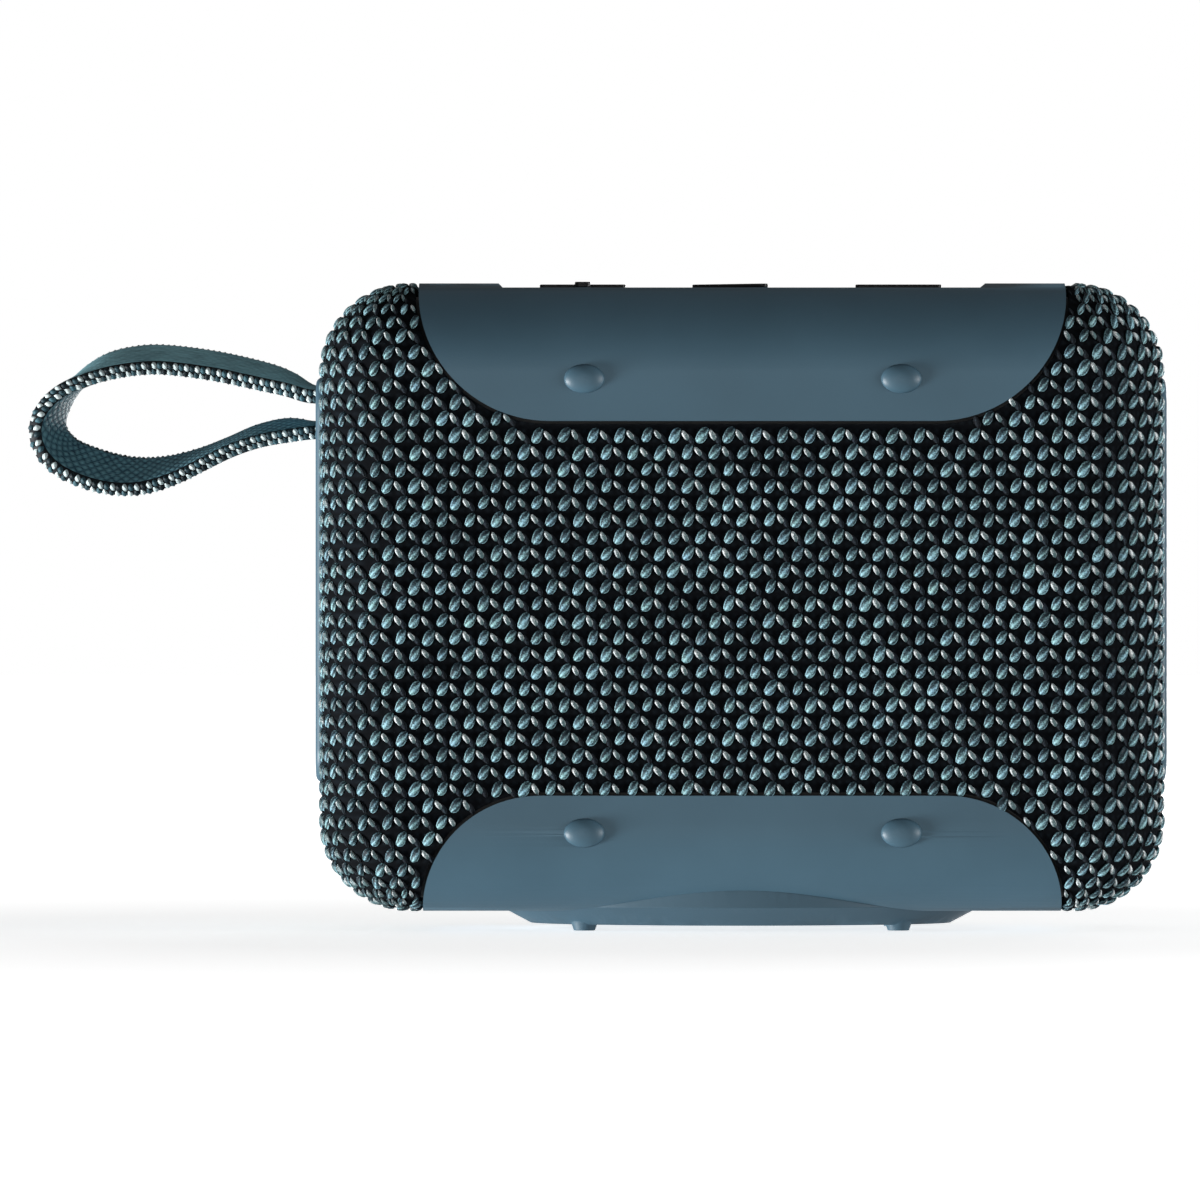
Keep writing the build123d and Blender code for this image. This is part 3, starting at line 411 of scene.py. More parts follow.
class Finishes:
    """Every material of the speaker, made once and handed out by the record's slot names."""

    def __init__(self) -> None:
        """Make all the finishes."""
        black = (0.006, 0.006, 0.007)
        self.by_slot: dict[str, Material] = {
            # painted shade: the cloth under the stitches is near black
            "fabric": ShadeGroundCloth("back_cloth", (0.0008, 0.0016, 0.003), (0.006, 0.01, 0.014)).make(),
            "panel": SoftTouch("panel_soft_touch", srgb(64, 94, 110)).make(),
            "symbol": SoftTouch("key_symbol_rubber", black, 0.4).make(),
            "foot": SoftTouch("foot_rubber", srgb(60, 88, 103), 0.52, 0.08).make(),
            "housing": SoftTouch("housing_plastic", (0.011, 0.011, 0.012), 0.5, 0.12).make(),
            "seal": SoftTouch("seal_rubber", (0.008, 0.008, 0.008), 0.6).make(),
            "paper": SoftTouch("pressed_pulp", (0.014, 0.014, 0.015), 0.75, 0.3).make(),
            "steel": Metal("zinc_plate", (0.5, 0.51, 0.53)).make(),
            "ferrite": Metal("sintered_ferrite", (0.05, 0.05, 0.054), 0.6, 0.3).make(),
            "copper": Metal("enamelled_winding", (0.6, 0.24, 0.09), 0.3).make(),
            "screw": Metal("black_zinc", (0.06, 0.06, 0.064), 0.38).make(),
            "cell": Glossy("battery_film", (0.12, 0.14, 0.16), 0.3).make(),
            "board": Glossy("solder_mask", (0.01, 0.09, 0.04), 0.25).make(),
            "chip": Glossy("moulded_chip", (0.012, 0.012, 0.013), 0.45).make(),
            "lens": Glossy("lens_clear", (0.62, 0.66, 0.68), 0.12).make(),
            "lead": Glossy("lead_jacket", (0.02, 0.02, 0.022), 0.5).make(),
            "strap": Braid(
                "strap_face", srgb(36, 74, 92), srgb(158, 218, 230), srgb(8, 16, 24)).make(),
        }
        self.big_yarn = Yarn(
            "weave_yarn", srgb(14, 34, 44), srgb(164, 214, 206), srgb(146, 192, 222)).make()
        # painted highlight: the pick yarn's near-white colour stands for light caught by the small
        # stitches
        self.small_yarn = Yarn(
            "weave_pick", srgb(84, 112, 116), srgb(255, 255, 252), srgb(236, 250, 255),
            2.0, 0.4, -0.9).make()
        # painted shade: the under yarn is a darker copy of the weave yarn, standing for shade low in
        # the weave
        self.shaded_under_yarn = Yarn(
            "weave_under", srgb(4, 10, 18), srgb(44, 64, 70), srgb(38, 44, 62), 3.0, 0.8, 0.0).make()
        self.edge_pick = EdgePick(
            "strap_edge", srgb(6, 12, 20), srgb(92, 140, 154), srgb(226, 240, 240)).make()
        self.print_pale = SoftTouch("key_print", srgb(150, 168, 176), 0.5).make()


def dress(piece: Piece, material: Material) -> None:
    """Give a piece one material."""
    piece.data.materials.clear()
    piece.data.materials.append(material)


def link_mesh(name: str, mesh: bpy.types.Mesh) -> Piece:
    """Put a mesh into the scene as an object at the origin."""
    made = bpy.data.objects.new(name, mesh)
    bpy.context.scene.collection.objects.link(made)
    return made


def mesh_from(name: str, points: Iterable, faces: Iterable) -> Piece:
    """Make a smooth closed mesh from corners and faces, normals outwards."""
    mesh = bpy.data.meshes.new(name)
    mesh.from_pydata([tuple(point) for point in points], [], [tuple(face) for face in faces])
    shape = bmesh.new()
    shape.from_mesh(mesh)
    bmesh.ops.remove_doubles(shape, verts=shape.verts, dist=1e-7)
    bmesh.ops.recalc_face_normals(shape, faces=shape.faces)
    shape.to_mesh(mesh)
    shape.free()
    mesh.shade_smooth()
    return link_mesh(name, mesh)


def tube_faces(stations: int, around: int) -> list[tuple[int, ...]]:
    """Faces of a closed tube whose corners run ring by ring, with a cap at each end."""
    faces: list[tuple[int, ...]] = []
    for station in range(stations - 1):
        for step in range(around):
            first = station * around + step
            second = station * around + (step + 1) % around
            faces.append((first, second, second + around, first + around))
    faces.append(tuple(reversed(range(around))))
    faces.append(tuple((stations - 1) * around + step for step in range(around)))
    return faces


def set_trait(mesh: bpy.types.Mesh, name: str, values: Iterable[float]) -> None:
    """Give each corner of a mesh a number that shaders can read."""
    layer = mesh.attributes.new(name, "FLOAT", "POINT")
    for index, value in enumerate(values):
        layer.data[index].value = value


def set_wraps(piece: Piece, wraps: list[tuple[float, float]]) -> None:
    """Give a piece its own UV map, one place for each of its corners."""
    layer = piece.data.uv_layers.new(name="UVMap")
    for loop in piece.data.loops:
        layer.data[loop.index].uv = wraps[loop.vertex_index]


def softened(
        node: str, name: str, bevel: float = 0.0, flat_merge: bool = True,
        level: float | None = None) -> Piece:
    """A welded copy of a rigid part with smooth shading, standing for it.

    Args:
        node: the part's name in the frame.
        name: the new piece's name.
        bevel: width of a small bevel on its sharp edges, in metres.
        flat_merge: whether to join the triangles of each flat face.
        level: if given, whatever stands further out along +Y is pressed back to it, in metres.

    Returns:
        The new piece.
    """
    source = bpy.data.objects[node]
    mesh = source.data.copy()
    shape = bmesh.new()
    shape.from_mesh(mesh)
    bmesh.ops.remove_doubles(shape, verts=shape.verts, dist=2e-6)
    if level is not None:
        for corner in shape.verts:
            corner.co.y = min(corner.co.y, level)
    bmesh.ops.dissolve_degenerate(shape, edges=shape.edges, dist=1e-6)
    if flat_merge:
        bmesh.ops.dissolve_limit(
            shape, angle_limit=FLAT_EDGE, verts=shape.verts, edges=shape.edges,
            use_dissolve_boundaries=False)
    shape.to_mesh(mesh)
    shape.free()
    mesh.shade_smooth()
    mesh.set_sharp_from_angle(angle=SHARP_EDGE)
    piece = link_mesh(name, mesh)
    even = piece.modifiers.new("even_shading", "WEIGHTED_NORMAL")
    even.keep_sharp = True
    if bevel > 0:
        rounding = piece.modifiers.new("rounding", "BEVEL")
        rounding.width = bevel
        rounding.segments = 2
        rounding.angle_limit = SHARP_EDGE
        rounding.harden_normals = True
    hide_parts(node)
    return piece


@dataclass(frozen=True)
class Spot:
    """A point on the sleeve: where it is, which way is out, which way the row runs."""

    place: Vector
    out: Vector
    along: Vector
    squeeze: float


@dataclass(frozen=True)
class SleeveForm:
    """The rounded block that the sleeve is stretched over, unrolled into rows round the case.

    s runs round the case from the middle of the rear towards -X; v runs up it, and bends over
    the top and bottom edges.
    """

    half_x: float = 43.2 * MM
    half_y: float = 20.0 * MM
    low: float = 2.4 * MM
    high: float = 66.4 * MM
    round_r: float = 9.0 * MM

    @property
    def core_x(self) -> float:
        """Half the straight run of the rear."""
        return self.half_x - self.round_r

    @property
    def core_y(self) -> float:
        """Half the straight run of a side."""
        return self.half_y - self.round_r

    @property
    def girth(self) -> float:
        """Length once round the case."""
        return 4 * (self.core_x + self.core_y) + 2 * math.pi * self.round_r

    @property
    def straight(self) -> float:
        """Height of the upright part, between the lower and the upper bend."""
        return self.high - self.low - 2 * self.round_r

    @property
    def bend(self) -> float:
        """Length of the quarter bend at the top or bottom edge."""
        return math.pi / 2 * self.round_r

    def _ring(self, run: float) -> tuple[float, float, float, float]:
        """Core point and outward direction at a run round the case."""
        corner = self.bend
        runs = [self.core_x, corner, 2 * self.core_y, corner, 2 * self.core_x, corner,
                2 * self.core_y, corner, self.core_x]
        run %= self.girth
        index = 0
        while index < len(runs) - 1 and run > runs[index]:
            run -= runs[index]
            index += 1
        share = run / runs[index]
        x, y = self.core_x, self.core_y
        quarter = math.pi / 2
        places = [
            (-share * x, y, quarter), (-x, y, quarter * (1 + share)),
            (-x, y - 2 * y * share, 2 * quarter),
            (-x, -y, quarter * (2 + share)), (-x + 2 * x * share, -y, 3 * quarter),
            (x, -y, quarter * (3 + share)), (x, -y + 2 * y * share, 0.0), (x, y, quarter * share),
            (x - x * share, y, quarter)]
        core_x, core_y, angle = places[index]
        return core_x, core_y, math.cos(angle), math.sin(angle)

    def at(self, run: float, rise: float, lift: float = 0.0) -> Spot:
        """The point at a run round the case and a rise up it.

        Args:
            run: distance round the case.
            rise: distance up from where the lower bend ends; negative values go under.
            lift: height above the sleeve's outer face.

        Returns:
            The spot, whose squeeze is how much of the row's length is left there.
        """
        core_x, core_y, out_x, out_y = self._ring(run)
        straight = self.straight
        core_z = self.low + self.round_r + min(max(rise, 0.0), straight)
        tilt = 0.0
        if rise < 0:
            tilt = rise / self.round_r
        elif rise > straight:
            tilt = (rise - straight) / self.round_r
        out = Vector((out_x * math.cos(tilt), out_y * math.cos(tilt), math.sin(tilt)))
        place = Vector((core_x, core_y, core_z)) + out * (self.round_r + lift)
        along = Vector((-out_y, out_x, 0.0))
        return Spot(place, out, along, math.cos(tilt))


@dataclass(frozen=True)
class Stitch:
    """One kind of raised stitch in the weave, in millimetres and degrees."""

    name: str
    length: float
    width: float
    height: float
    slant: float
    shift_run: float
    shift_rise: float
    around: int
    stations: int


class PointRow:
    """Places for copies of a small mesh, each with its directions, size and tone."""

    def __init__(self) -> None:
        """Start with no places."""
        self.rows: list[tuple] = []

    def add(self, place: Vector, out: Vector, run: Vector, size: tuple, tone: float) -> None:
        """Add one place.

        Args:
            place: where the copy's middle goes.
            out: what its own Z turns to.
            run: what its own X turns to.
            size: its scale along its three axes.
            tone: how light it is, 0 to 1.
        """
        self.rows.append((place, out, run, Vector(size), tone))

    def laid(self, name: str) -> Piece:
        """The places as a mesh of loose points that carry the rest as attributes."""
        places, *vectors, tones = zip(*self.rows)
        mesh = bpy.data.meshes.new(name)
        mesh.from_pydata(places, [], [])
        for label, values in zip(("out", "run", "size"), vectors):
            layer = mesh.attributes.new(label, "FLOAT_VECTOR", "POINT")
            for index, value in enumerate(values):
                layer.data[index].vector = value
        set_trait(mesh, "tone", tones)
        return link_mesh(name, mesh)


class SleeveWeave:
    """Staggered rows of slanted stitches over the whole sleeve, laid out as points and instanced."""

    SEED = 7
    COLUMNS = 85
    PITCH_RISE = 1.72 * MM
    LONG = Stitch("weave_long", 1.86, 0.98, 0.54, 19.0, 0.0, 0.0, 8, 8)
    SHORT = Stitch("weave_short", 1.3, 0.52, 0.6, -45.0, 1.04, 0.0, 6, 6)
    UNDER = Stitch("weave_under", 1.3, 0.6, 0.16, -40.0, 1.55, -0.35, 6, 5)

    def __init__(self, finishes: Finishes) -> None:
        """Keep the shared finishes and read the sleeve's real outline."""
        self.finishes = finishes
        self.form = SleeveForm()
        self.row_count = 0
        source = bpy.data.objects["fabric_sleeve"]
        shape = bmesh.new()
        shape.from_mesh(source.data)
        self.cover = BVHTree.FromBMesh(shape)
        shape.free()

    def _covered(self, spot: Spot) -> bool:
        """Whether the sleeve's outer face lies under a stitch, with room on each side."""
        reach = 0.24 * MM
        up = spot.out.cross(spot.along)
        for run, rise in ((reach, 0.0), (-reach, 0.0), (0.0, reach), (0.0, -reach)):
            probe = spot.place + spot.along * run + up * rise
            found = self.cover.find_nearest(probe)
            if found[0] is None or found[3] > 0.33 * MM:
                return False
            if abs((found[0] - probe).normalized().dot(spot.out)) < 0.6 and found[3] > 0.12 * MM:
                return False
        return True

    def _jitter(self, index: int, salt: int) -> float:
        """A fixed, even spread of numbers from -1 to 1."""
        value = math.sin(index * 12.9898 + salt * 78.233 + self.SEED) * 43758.5453
        return 2 * (value - math.floor(value)) - 1

    @staticmethod
    def stitch_mesh(stitch: Stitch) -> Piece:
        """One stitch: a plump closed lobe with its ends tucked in and its own UVs."""
        points, wraps = [], []
        for station in range(stitch.stations):
            share = station / (stitch.stations - 1)
            lean = 2 * share - 1
            swell = max(0.0, 1 - abs(lean) ** 2.4) ** 0.5
            for step in range(stitch.around):
                angle = 2 * math.pi * step / stitch.around
                points.append(Vector((
                    math.cos(angle) * stitch.width / 2 * (0.12 + 0.88 * swell)
                    + lean * abs(lean) * 0.12,
                    lean * stitch.length / 2,
                    math.sin(angle) * stitch.height / 2 * (0.15 + 0.85 * swell)
                    + stitch.height * 0.5 * (swell - 0.75))) * MM)
                wraps.append((step / stitch.around, share))
        piece = mesh_from(stitch.name + "_one", points, tube_faces(stitch.stations, stitch.around))
        set_wraps(piece, wraps)
        turn = math.radians(-stitch.slant)
        cosine, sine = math.cos(turn), math.sin(turn)
        for vertex in piece.data.vertices:
            x, y, z = vertex.co
            vertex.co = (x * cosine - y * sine, x * sine + y * cosine, z)
        return piece

    def _points(self, stitch: Stitch, rows: range) -> Piece:
        """Lay out one kind of stitch over some rows, as points with directions and tones."""
        form = self.form
        pitch = form.girth / self.COLUMNS
        found = PointRow()
        for row in rows:
            rise = -form.bend + 0.35 * MM + row * self.PITCH_RISE
            for column in range(self.COLUMNS):
                index = row * self.COLUMNS + column
                stagger = 0.5 * (row % 2)
                run = ((column + stagger) * pitch + stitch.shift_run * MM
                       + self._jitter(index, 3) * 0.09 * MM)
                high = rise + stitch.shift_rise * MM + self._jitter(index, 5) * 0.07 * MM
                spot = form.at(run, high, 0.03 * MM)
                if spot.squeeze < 0.32 or not self._covered(spot):
                    continue
                swell = 1 + 0.1 * self._jitter(index, 9)
                turn = math.radians(7 * self._jitter(index, 13))
                found.add(
                    spot.place, spot.out, spot.along + spot.out.cross(spot.along) * math.tan(turn),
                    (max(spot.squeeze, 0.45) * swell, swell, 1.0),
                    0.5 + 0.28 * self._jitter(index, 11) + 0.16 * self._jitter(index // 3, 2))
        for spot, index in self._caps(stitch, rows):
            swell = 1 + 0.06 * self._jitter(index, 9)
            found.add(
                spot.place, spot.out, spot.along, (swell, swell, 1.0),
                0.5 + 0.28 * self._jitter(index, 11))
        return found.laid(stitch.name + "_points")

    def _caps(self, stitch: Stitch, rows: range) -> list[tuple[Spot, int]]:
        """Stitches on the flat top and bottom, which the rows round the case don't reach."""
        form = self.form
        upper = rows.start > 0
        if upper and rows.stop < self.row_count:
            return []
        found = []
        sign = 1.0 if upper else -1.0
        pitch = form.girth / self.COLUMNS
        for row in range(-9, 10):
            for column in range(-14, 15):
                index = 90000 + row * 64 + column
                x = (column + 0.5 * (row % 2)) * pitch - stitch.shift_run * MM
                y = row * self.PITCH_RISE - sign * stitch.shift_rise * MM
                over = Vector((max(abs(x) - form.core_x, 0.0), max(abs(y) - form.core_y, 0.0)))
                away = over.length
                if away > form.round_r * 0.34:
                    continue
                slope = Vector((math.copysign(over.x, x), math.copysign(over.y, y))) / form.round_r
                level = math.sqrt(1 - slope.length_squared)
                out = Vector((slope.x, slope.y, sign * level))
                base = form.high - form.round_r if upper else form.low + form.round_r
                place = Vector((x, y, base + sign * form.round_r * level))
                spot = Spot(place + out * 0.03 * MM, out, Vector((-1.0, 0.0, 0.0)), 1.0)
                if self._covered(spot):
                    found.append((spot, index))
        return found

    def lay(
            self, stitch: Stitch, rows: range, name: str, yarn: Material) -> Piece:
        """Lay one kind of stitch over some rows and turn it into one mesh on the body."""
        points = self._points(stitch, rows)
        piece = PointCopies(name, self.stitch_mesh(stitch), yarn).grow(points)
        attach(piece, "body")
        return piece

    def build(self) -> list[Piece]:
        """Weave the sleeve in bands of rows, then lay the cloth under it."""
        height = self.form.straight + 2 * self.form.bend
        count = self.row_count = int((height - 0.5 * MM) / self.PITCH_RISE) + 1
        third = count // 3
        bands = [range(0, third), range(third, 2 * third), range(2 * third, count)]
        made = []
        for index, rows in enumerate(bands):
            for stitch, yarn in (
                    (self.LONG, self.finishes.big_yarn), (self.SHORT, self.finishes.small_yarn),
                    (self.UNDER, self.finishes.shaded_under_yarn)):
                made.append(self.lay(stitch, rows, f"{stitch.name}_{index + 1}", yarn))
        made.append(self._ground())
        return made

    def _ground(self) -> Piece:
        """The cloth under the stitches, a little inside the sleeve's outer face, painted near black as
        the shade between them.
        """
        ground = softened("fabric_sleeve", "sleeve_cloth", flat_merge=False)
        for vertex in ground.data.vertices:
            vertex.co -= vertex.normal * 0.05 * MM
        dress(ground, self.finishes.by_slot["fabric"])
        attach(ground, "body")
        return ground


class PointCopies:
    """A Geometry Nodes tree that sets one small mesh on every point and makes it real."""

    def __init__(self, name: str, one: Piece, material: Material) -> None:
        """Build the tree.

        Args:
            name: the finished piece's name.
            one: the mesh to repeat.
            material: given to every copy.
        """
        self.name = name
        self.one = one
        self.material = material
        self.tree = bpy.data.node_groups.new(name + "_tree", "GeometryNodeTree")
        self.tree.interface.new_socket("Points", in_out="INPUT", socket_type="NodeSocketGeometry")
        self.object_input = self.tree.interface.new_socket(
            "One", in_out="INPUT", socket_type="NodeSocketObject").identifier
        self.tree.interface.new_socket("Pieces", in_out="OUTPUT", socket_type="NodeSocketGeometry")
        self._wire()

    def _add(self, kind: str, settings: dict | None = None) -> bpy.types.Node:
        """Add one node with its settings."""
        node = self.tree.nodes.new(kind)
        for name, value in (settings or {}).items():
            setattr(node, name, value)
        return node

    def _named(self, name: str, kind: str) -> Socket:
        """Read one of the points' attributes."""
        node = self._add("GeometryNodeInputNamedAttribute", {"data_type": kind})
        node.inputs["Name"].default_value = name
        return next(socket for socket in node.outputs if socket.enabled)

    def _wire(self) -> None:
        """Join the nodes: copies on points, turned and sized by the points, made real."""
        link = self.tree.links.new
        entry = self._add("NodeGroupInput")
        leave = self._add("NodeGroupOutput")
        info = self._add("GeometryNodeObjectInfo", {"transform_space": "ORIGINAL"})
        turn = self._add("FunctionNodeAxesToRotation", {"primary_axis": "Z", "secondary_axis": "X"})
        copies = self._add("GeometryNodeInstanceOnPoints")
        real = self._add("GeometryNodeRealizeInstances")
        link(entry.outputs["One"], info.inputs["Object"])
        link(entry.outputs["Points"], copies.inputs["Points"])
        link(info.outputs["Geometry"], copies.inputs["Instance"])
        link(self._named("out", "FLOAT_VECTOR"), turn.inputs["Primary Axis"])
        link(self._named("run", "FLOAT_VECTOR"), turn.inputs["Secondary Axis"])
        link(turn.outputs["Rotation"], copies.inputs["Rotation"])
        link(self._named("size", "FLOAT_VECTOR"), copies.inputs["Scale"])
        link(copies.outputs["Instances"], real.inputs["Geometry"])
        link(real.outputs["Geometry"], leave.inputs["Pieces"])

    def grow(self, points: Piece) -> Piece:
        """Run the tree on a mesh of points, clear up, and return one plain mesh."""
        modifier = points.modifiers.new("copies", "NODES")
        modifier.node_group = self.tree
        modifier[self.object_input] = self.one
        bpy.context.view_layer.update()
        graph = bpy.context.evaluated_depsgraph_get()
        mesh = bpy.data.meshes.new_from_object(points.evaluated_get(graph), depsgraph=graph)
        piece = link_mesh(self.name, mesh)
        dress(piece, self.material)
        mesh.shade_smooth()
        for used in (points, self.one):
            bpy.data.objects.remove(used)
        return piece


@dataclass(frozen=True)
class StrapKnot:
    """One point on the strap's middle line, and how far its near edge leans outwards."""

    x: float
    z: float
    lean: float


class Edge(Enum):
    """Which edge of the strap: the one towards the rear, or the one towards the front."""

    NEAR = 1
    FAR = -1


class WristStrap:
    """Flat braided loop: a leaning band with two rows of coloured plait ends on each edge."""

    WIDTH = 7.0 * MM
    THICK = 1.6 * MM
    STEP = 0.4 * MM
    PICK_PITCH = 1.15 * MM
    PICK = Stitch("strap_pick", 0.86, 0.6, 0.42, 34.0, 0.0, 0.0, 6, 5)
    KNOTS = tuple(StrapKnot(*knot) for knot in (
        (41.2, 55.4, 0), (44.5, 55.5, -6), (47.0, 56.55, -14), (49.5, 57.3, -18), (54.5, 58.4, -19),
        (59.5, 59.05, -19), (62.5, 59.0, -19), (65.5, 58.4, -16), (68.2, 57.1, -6), (70.4, 55.3, 10),
        (71.8, 53.0, 22), (71.7, 50.8, 29), (70.2, 49.0, 32), (67.6, 47.8, 33), (64.8, 47.1, 31),
        (62.0, 47.0, 26), (59.0, 47.6, 19), (56.0, 48.7, 12), (53.0, 50.0, 9), (50.0, 51.15, 12),
        (47.0, 51.75, 13), (44.5, 51.75, 6), (41.2, 51.7, 0)))

    def __init__(self, finishes: Finishes) -> None:
        """Keep the shared finishes and work out the middle line."""
        self.finishes = finishes
        self.line, self.leans = self._middle_line()

    def _middle_line(self) -> tuple[list[Vector], list[float]]:
        """Evenly spaced points on a smooth curve through the knots, with a lean at each."""
        fine: list[tuple[Vector, float]] = []
        knots = [Vector((knot.x * MM, 0.0, knot.z * MM)) for knot in self.KNOTS]
        leans = [math.radians(knot.lean) for knot in self.KNOTS]
        for index in range(len(knots) - 1):
            before, after = max(index - 1, 0), min(index + 2, len(knots) - 1)
            for step in range(20):
                share = step / 20
                fine.append((
                    self._through(knots[before], knots[index], knots[index + 1], knots[after], share),
                    self._through(leans[before], leans[index], leans[index + 1], leans[after], share)))
        fine.append((knots[-1], leans[-1]))
        line, lean, carried = [fine[0][0]], [fine[0][1]], 0.0
        for first, second in zip(fine, fine[1:]):
            run = (second[0] - first[0]).length
            while run > 0 and carried + run >= self.STEP:
                share = (self.STEP - carried) / run
                first = (first[0].lerp(second[0], share), first[1] + (second[1] - first[1]) * share)
                line.append(first[0])
                lean.append(first[1])
                run = (second[0] - first[0]).length
                carried = 0.0
            carried += run
        return line, lean

    @staticmethod
    def _through(before, start, end, after, share: float):
        """A smooth curve through start and end that heads along its neighbours."""
        square, cube = share * share, share ** 3
        return (start * 2 + (end - before) * share
                + (before * 2 - start * 5 + end * 4 - after) * square
                + (start * 3 - before - end * 3 + after) * cube) * 0.5

    @property
    def length(self) -> float:
        """Length of the middle line."""
        return sum((second - first).length for first, second in zip(self.line, self.line[1:]))

    def _axes(self, index: int) -> tuple[Vector, Vector, Vector]:
        """Direction of travel, across the band towards its near edge, and out of the band."""
        ahead = self.line[min(index + 1, len(self.line) - 1)]
        behind = self.line[max(index - 1, 0)]
        travel = (ahead - behind).normalized()
        outward = Vector((-travel.z, 0.0, travel.x))
        lean = self.leans[index]
        across = Vector((0.0, math.cos(lean), 0.0)) + outward * math.sin(lean)
        return travel, across, travel.cross(across) * -1

    def _band(self) -> Piece:
        """The band itself, closed at both hidden ends, with a map in millimetres."""
        around = 28
        points, wraps, inners = [], [], []
        for index, middle in enumerate(self.line):
            _, across, out = self._axes(index)
            for step in range(around):
                angle = 2 * math.pi * step / around
                side, level = math.cos(angle), math.sin(angle)
                wide = math.copysign(abs(side) ** 0.32, side) * (self.WIDTH / 2 - 0.25 * MM)
                deep = math.copysign(abs(level) ** 0.5, level) * self.THICK / 2
                points.append(middle + across * wide + out * deep)
                wraps.append((index * self.STEP / MM, wide / MM))
                inners.append(1.0 if deep > 0 else 0.0)
        band = mesh_from("strap_band", points, tube_faces(len(self.line), around))
        set_wraps(band, wraps)
        set_trait(band.data, "inner", inners)
        dress(band, self.finishes.by_slot["strap"])
        return band

    def _picks(self, edge: Edge) -> Piece:
        """The plait ends of one edge: two staggered rows, dark and pale by turns."""
        found = PointRow()
        inset = 0.36 * MM
        count = int(self.length / (self.PICK_PITCH / 2)) - 2
        for index in range(2, count):
            for row in (-1, 1):
                run = index * self.PICK_PITCH / 2
                at = min(int(run / self.STEP), len(self.line) - 2)
                middle = self.line[at].lerp(self.line[at + 1], run / self.STEP - at)
                travel, across, out = self._axes(at)
                across = across * edge.value
                face = (across + out * row * 0.6).normalized()
                wobble = 0.08 * math.sin(index * 12.7 + row)
                pale = (index + (row > 0)) % 2
                found.add(
                    middle + across * (self.WIDTH / 2 - inset) + out * row * inset,
                    face, travel.cross(face) * row, (1.0, 1.0, 1.0),
                    (0.95 if pale else (0.04 if index % 4 < 2 else 0.2)) + wobble)
        points = found.laid("strap_points")
        one = SleeveWeave.stitch_mesh(self.PICK)
        name = "strap_picks_" + edge.name.lower()
        piece = PointCopies(name, one, self.finishes.edge_pick).grow(points)
        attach(piece, "body")
        return piece

    def build(self) -> list[Piece]:
        band = self._band()
        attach(band, "body")
        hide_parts("wrist_strap")
        picks = [self._picks(Edge.NEAR), self._picks(Edge.FAR)]
        self.length
        return [band, *picks]


class SideMarks:
    """Plain printed marks on the side keys: an open ring with a bar, and a ring with two waves."""

    FACE_X = -43.9 * MM
    SIT = 0.02 * MM
    THICK = 0.05 * MM

    def __init__(self, ink: Material) -> None:
        """Keep the ink."""
        self.ink = ink

    def _arc(
            self, middle: tuple[float, float], radius: float, start: float, end: float,
            wide: float) -> tuple:
        """Corners and faces of a flat arc on the side, in degrees from +Z towards +Y."""
        steps = max(6, int(abs(end - start) / 9))
        points, faces = [], []
        whole = abs(end - start) >= 359.9
        count = steps if whole else steps + 1
        for step in range(count):
            angle = math.radians(start + (end - start) * step / steps)
            for away in (radius - wide / 2, radius + wide / 2):
                for high in (0.0, self.THICK):
                    points.append((
                        self.FACE_X + self.SIT - high, middle[0] + math.sin(angle) * away,
                        middle[1] + math.cos(angle) * away))
        for step in range(steps):
            a, b = step * 4, (step + 1) % count * 4
            faces += [(a + low, b + low, b + high, a + high)
                      for low, high in ((0, 1), (1, 3), (3, 2), (2, 0))]
        if not whole:
            end_at = steps * 4
            faces += [(0, 1, 3, 2), (end_at, end_at + 2, end_at + 3, end_at + 1)]
        return points, faces

    def _bar(self, middle: tuple[float, float], wide: float, high: float) -> tuple:
        """Corners and faces of a flat upright bar."""
        points = [
            (self.FACE_X + self.SIT - x, middle[0] + y, middle[1] + z)
            for x in (0.0, self.THICK) for y in (-wide / 2, wide / 2) for z in (-high / 2, high / 2)]
        faces = [(0, 1, 3, 2), (4, 6, 7, 5), (0, 4, 5, 1), (2, 3, 7, 6), (0, 2, 6, 4), (1, 5, 7, 3)]
        return points, faces

    def _stamp(self, name: str, body: str, strokes: list[tuple]) -> Piece:
        """Join some strokes into one printed mark that moves with its key."""
        points, faces = [], []
        for stroke_points, stroke_faces in strokes:
            faces += [tuple(len(points) + corner for corner in face) for face in stroke_faces]
            points += stroke_points
        mark = mesh_from(name, points, faces)
        mark.data.shade_flat()
        dress(mark, self.ink)
        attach(mark, body)
        return mark

    def build(self) -> list[Piece]:
        """Print both marks."""
        power, pairing = 50.0 * MM, 41.0 * MM
        power_strokes = [
            self._arc((0.0, power), 1.35 * MM, 38, 322, 0.3 * MM),
            self._bar((0.0, power + 1.15 * MM), 0.3 * MM, 1.5 * MM)]
        pairing_strokes = [
            self._arc((across, pairing), radius, start, end, 0.28 * MM)
            for across, radius, start, end in (
                (-0.55 * MM, 0.85 * MM, 0, 360), (0.9 * MM, 0.85 * MM, 20, 160),
                (0.9 * MM, 1.55 * MM, 35, 145))]
        return [self._stamp("power_mark", "power", power_strokes),
                self._stamp("pairing_mark", "pairing", pairing_strokes)]


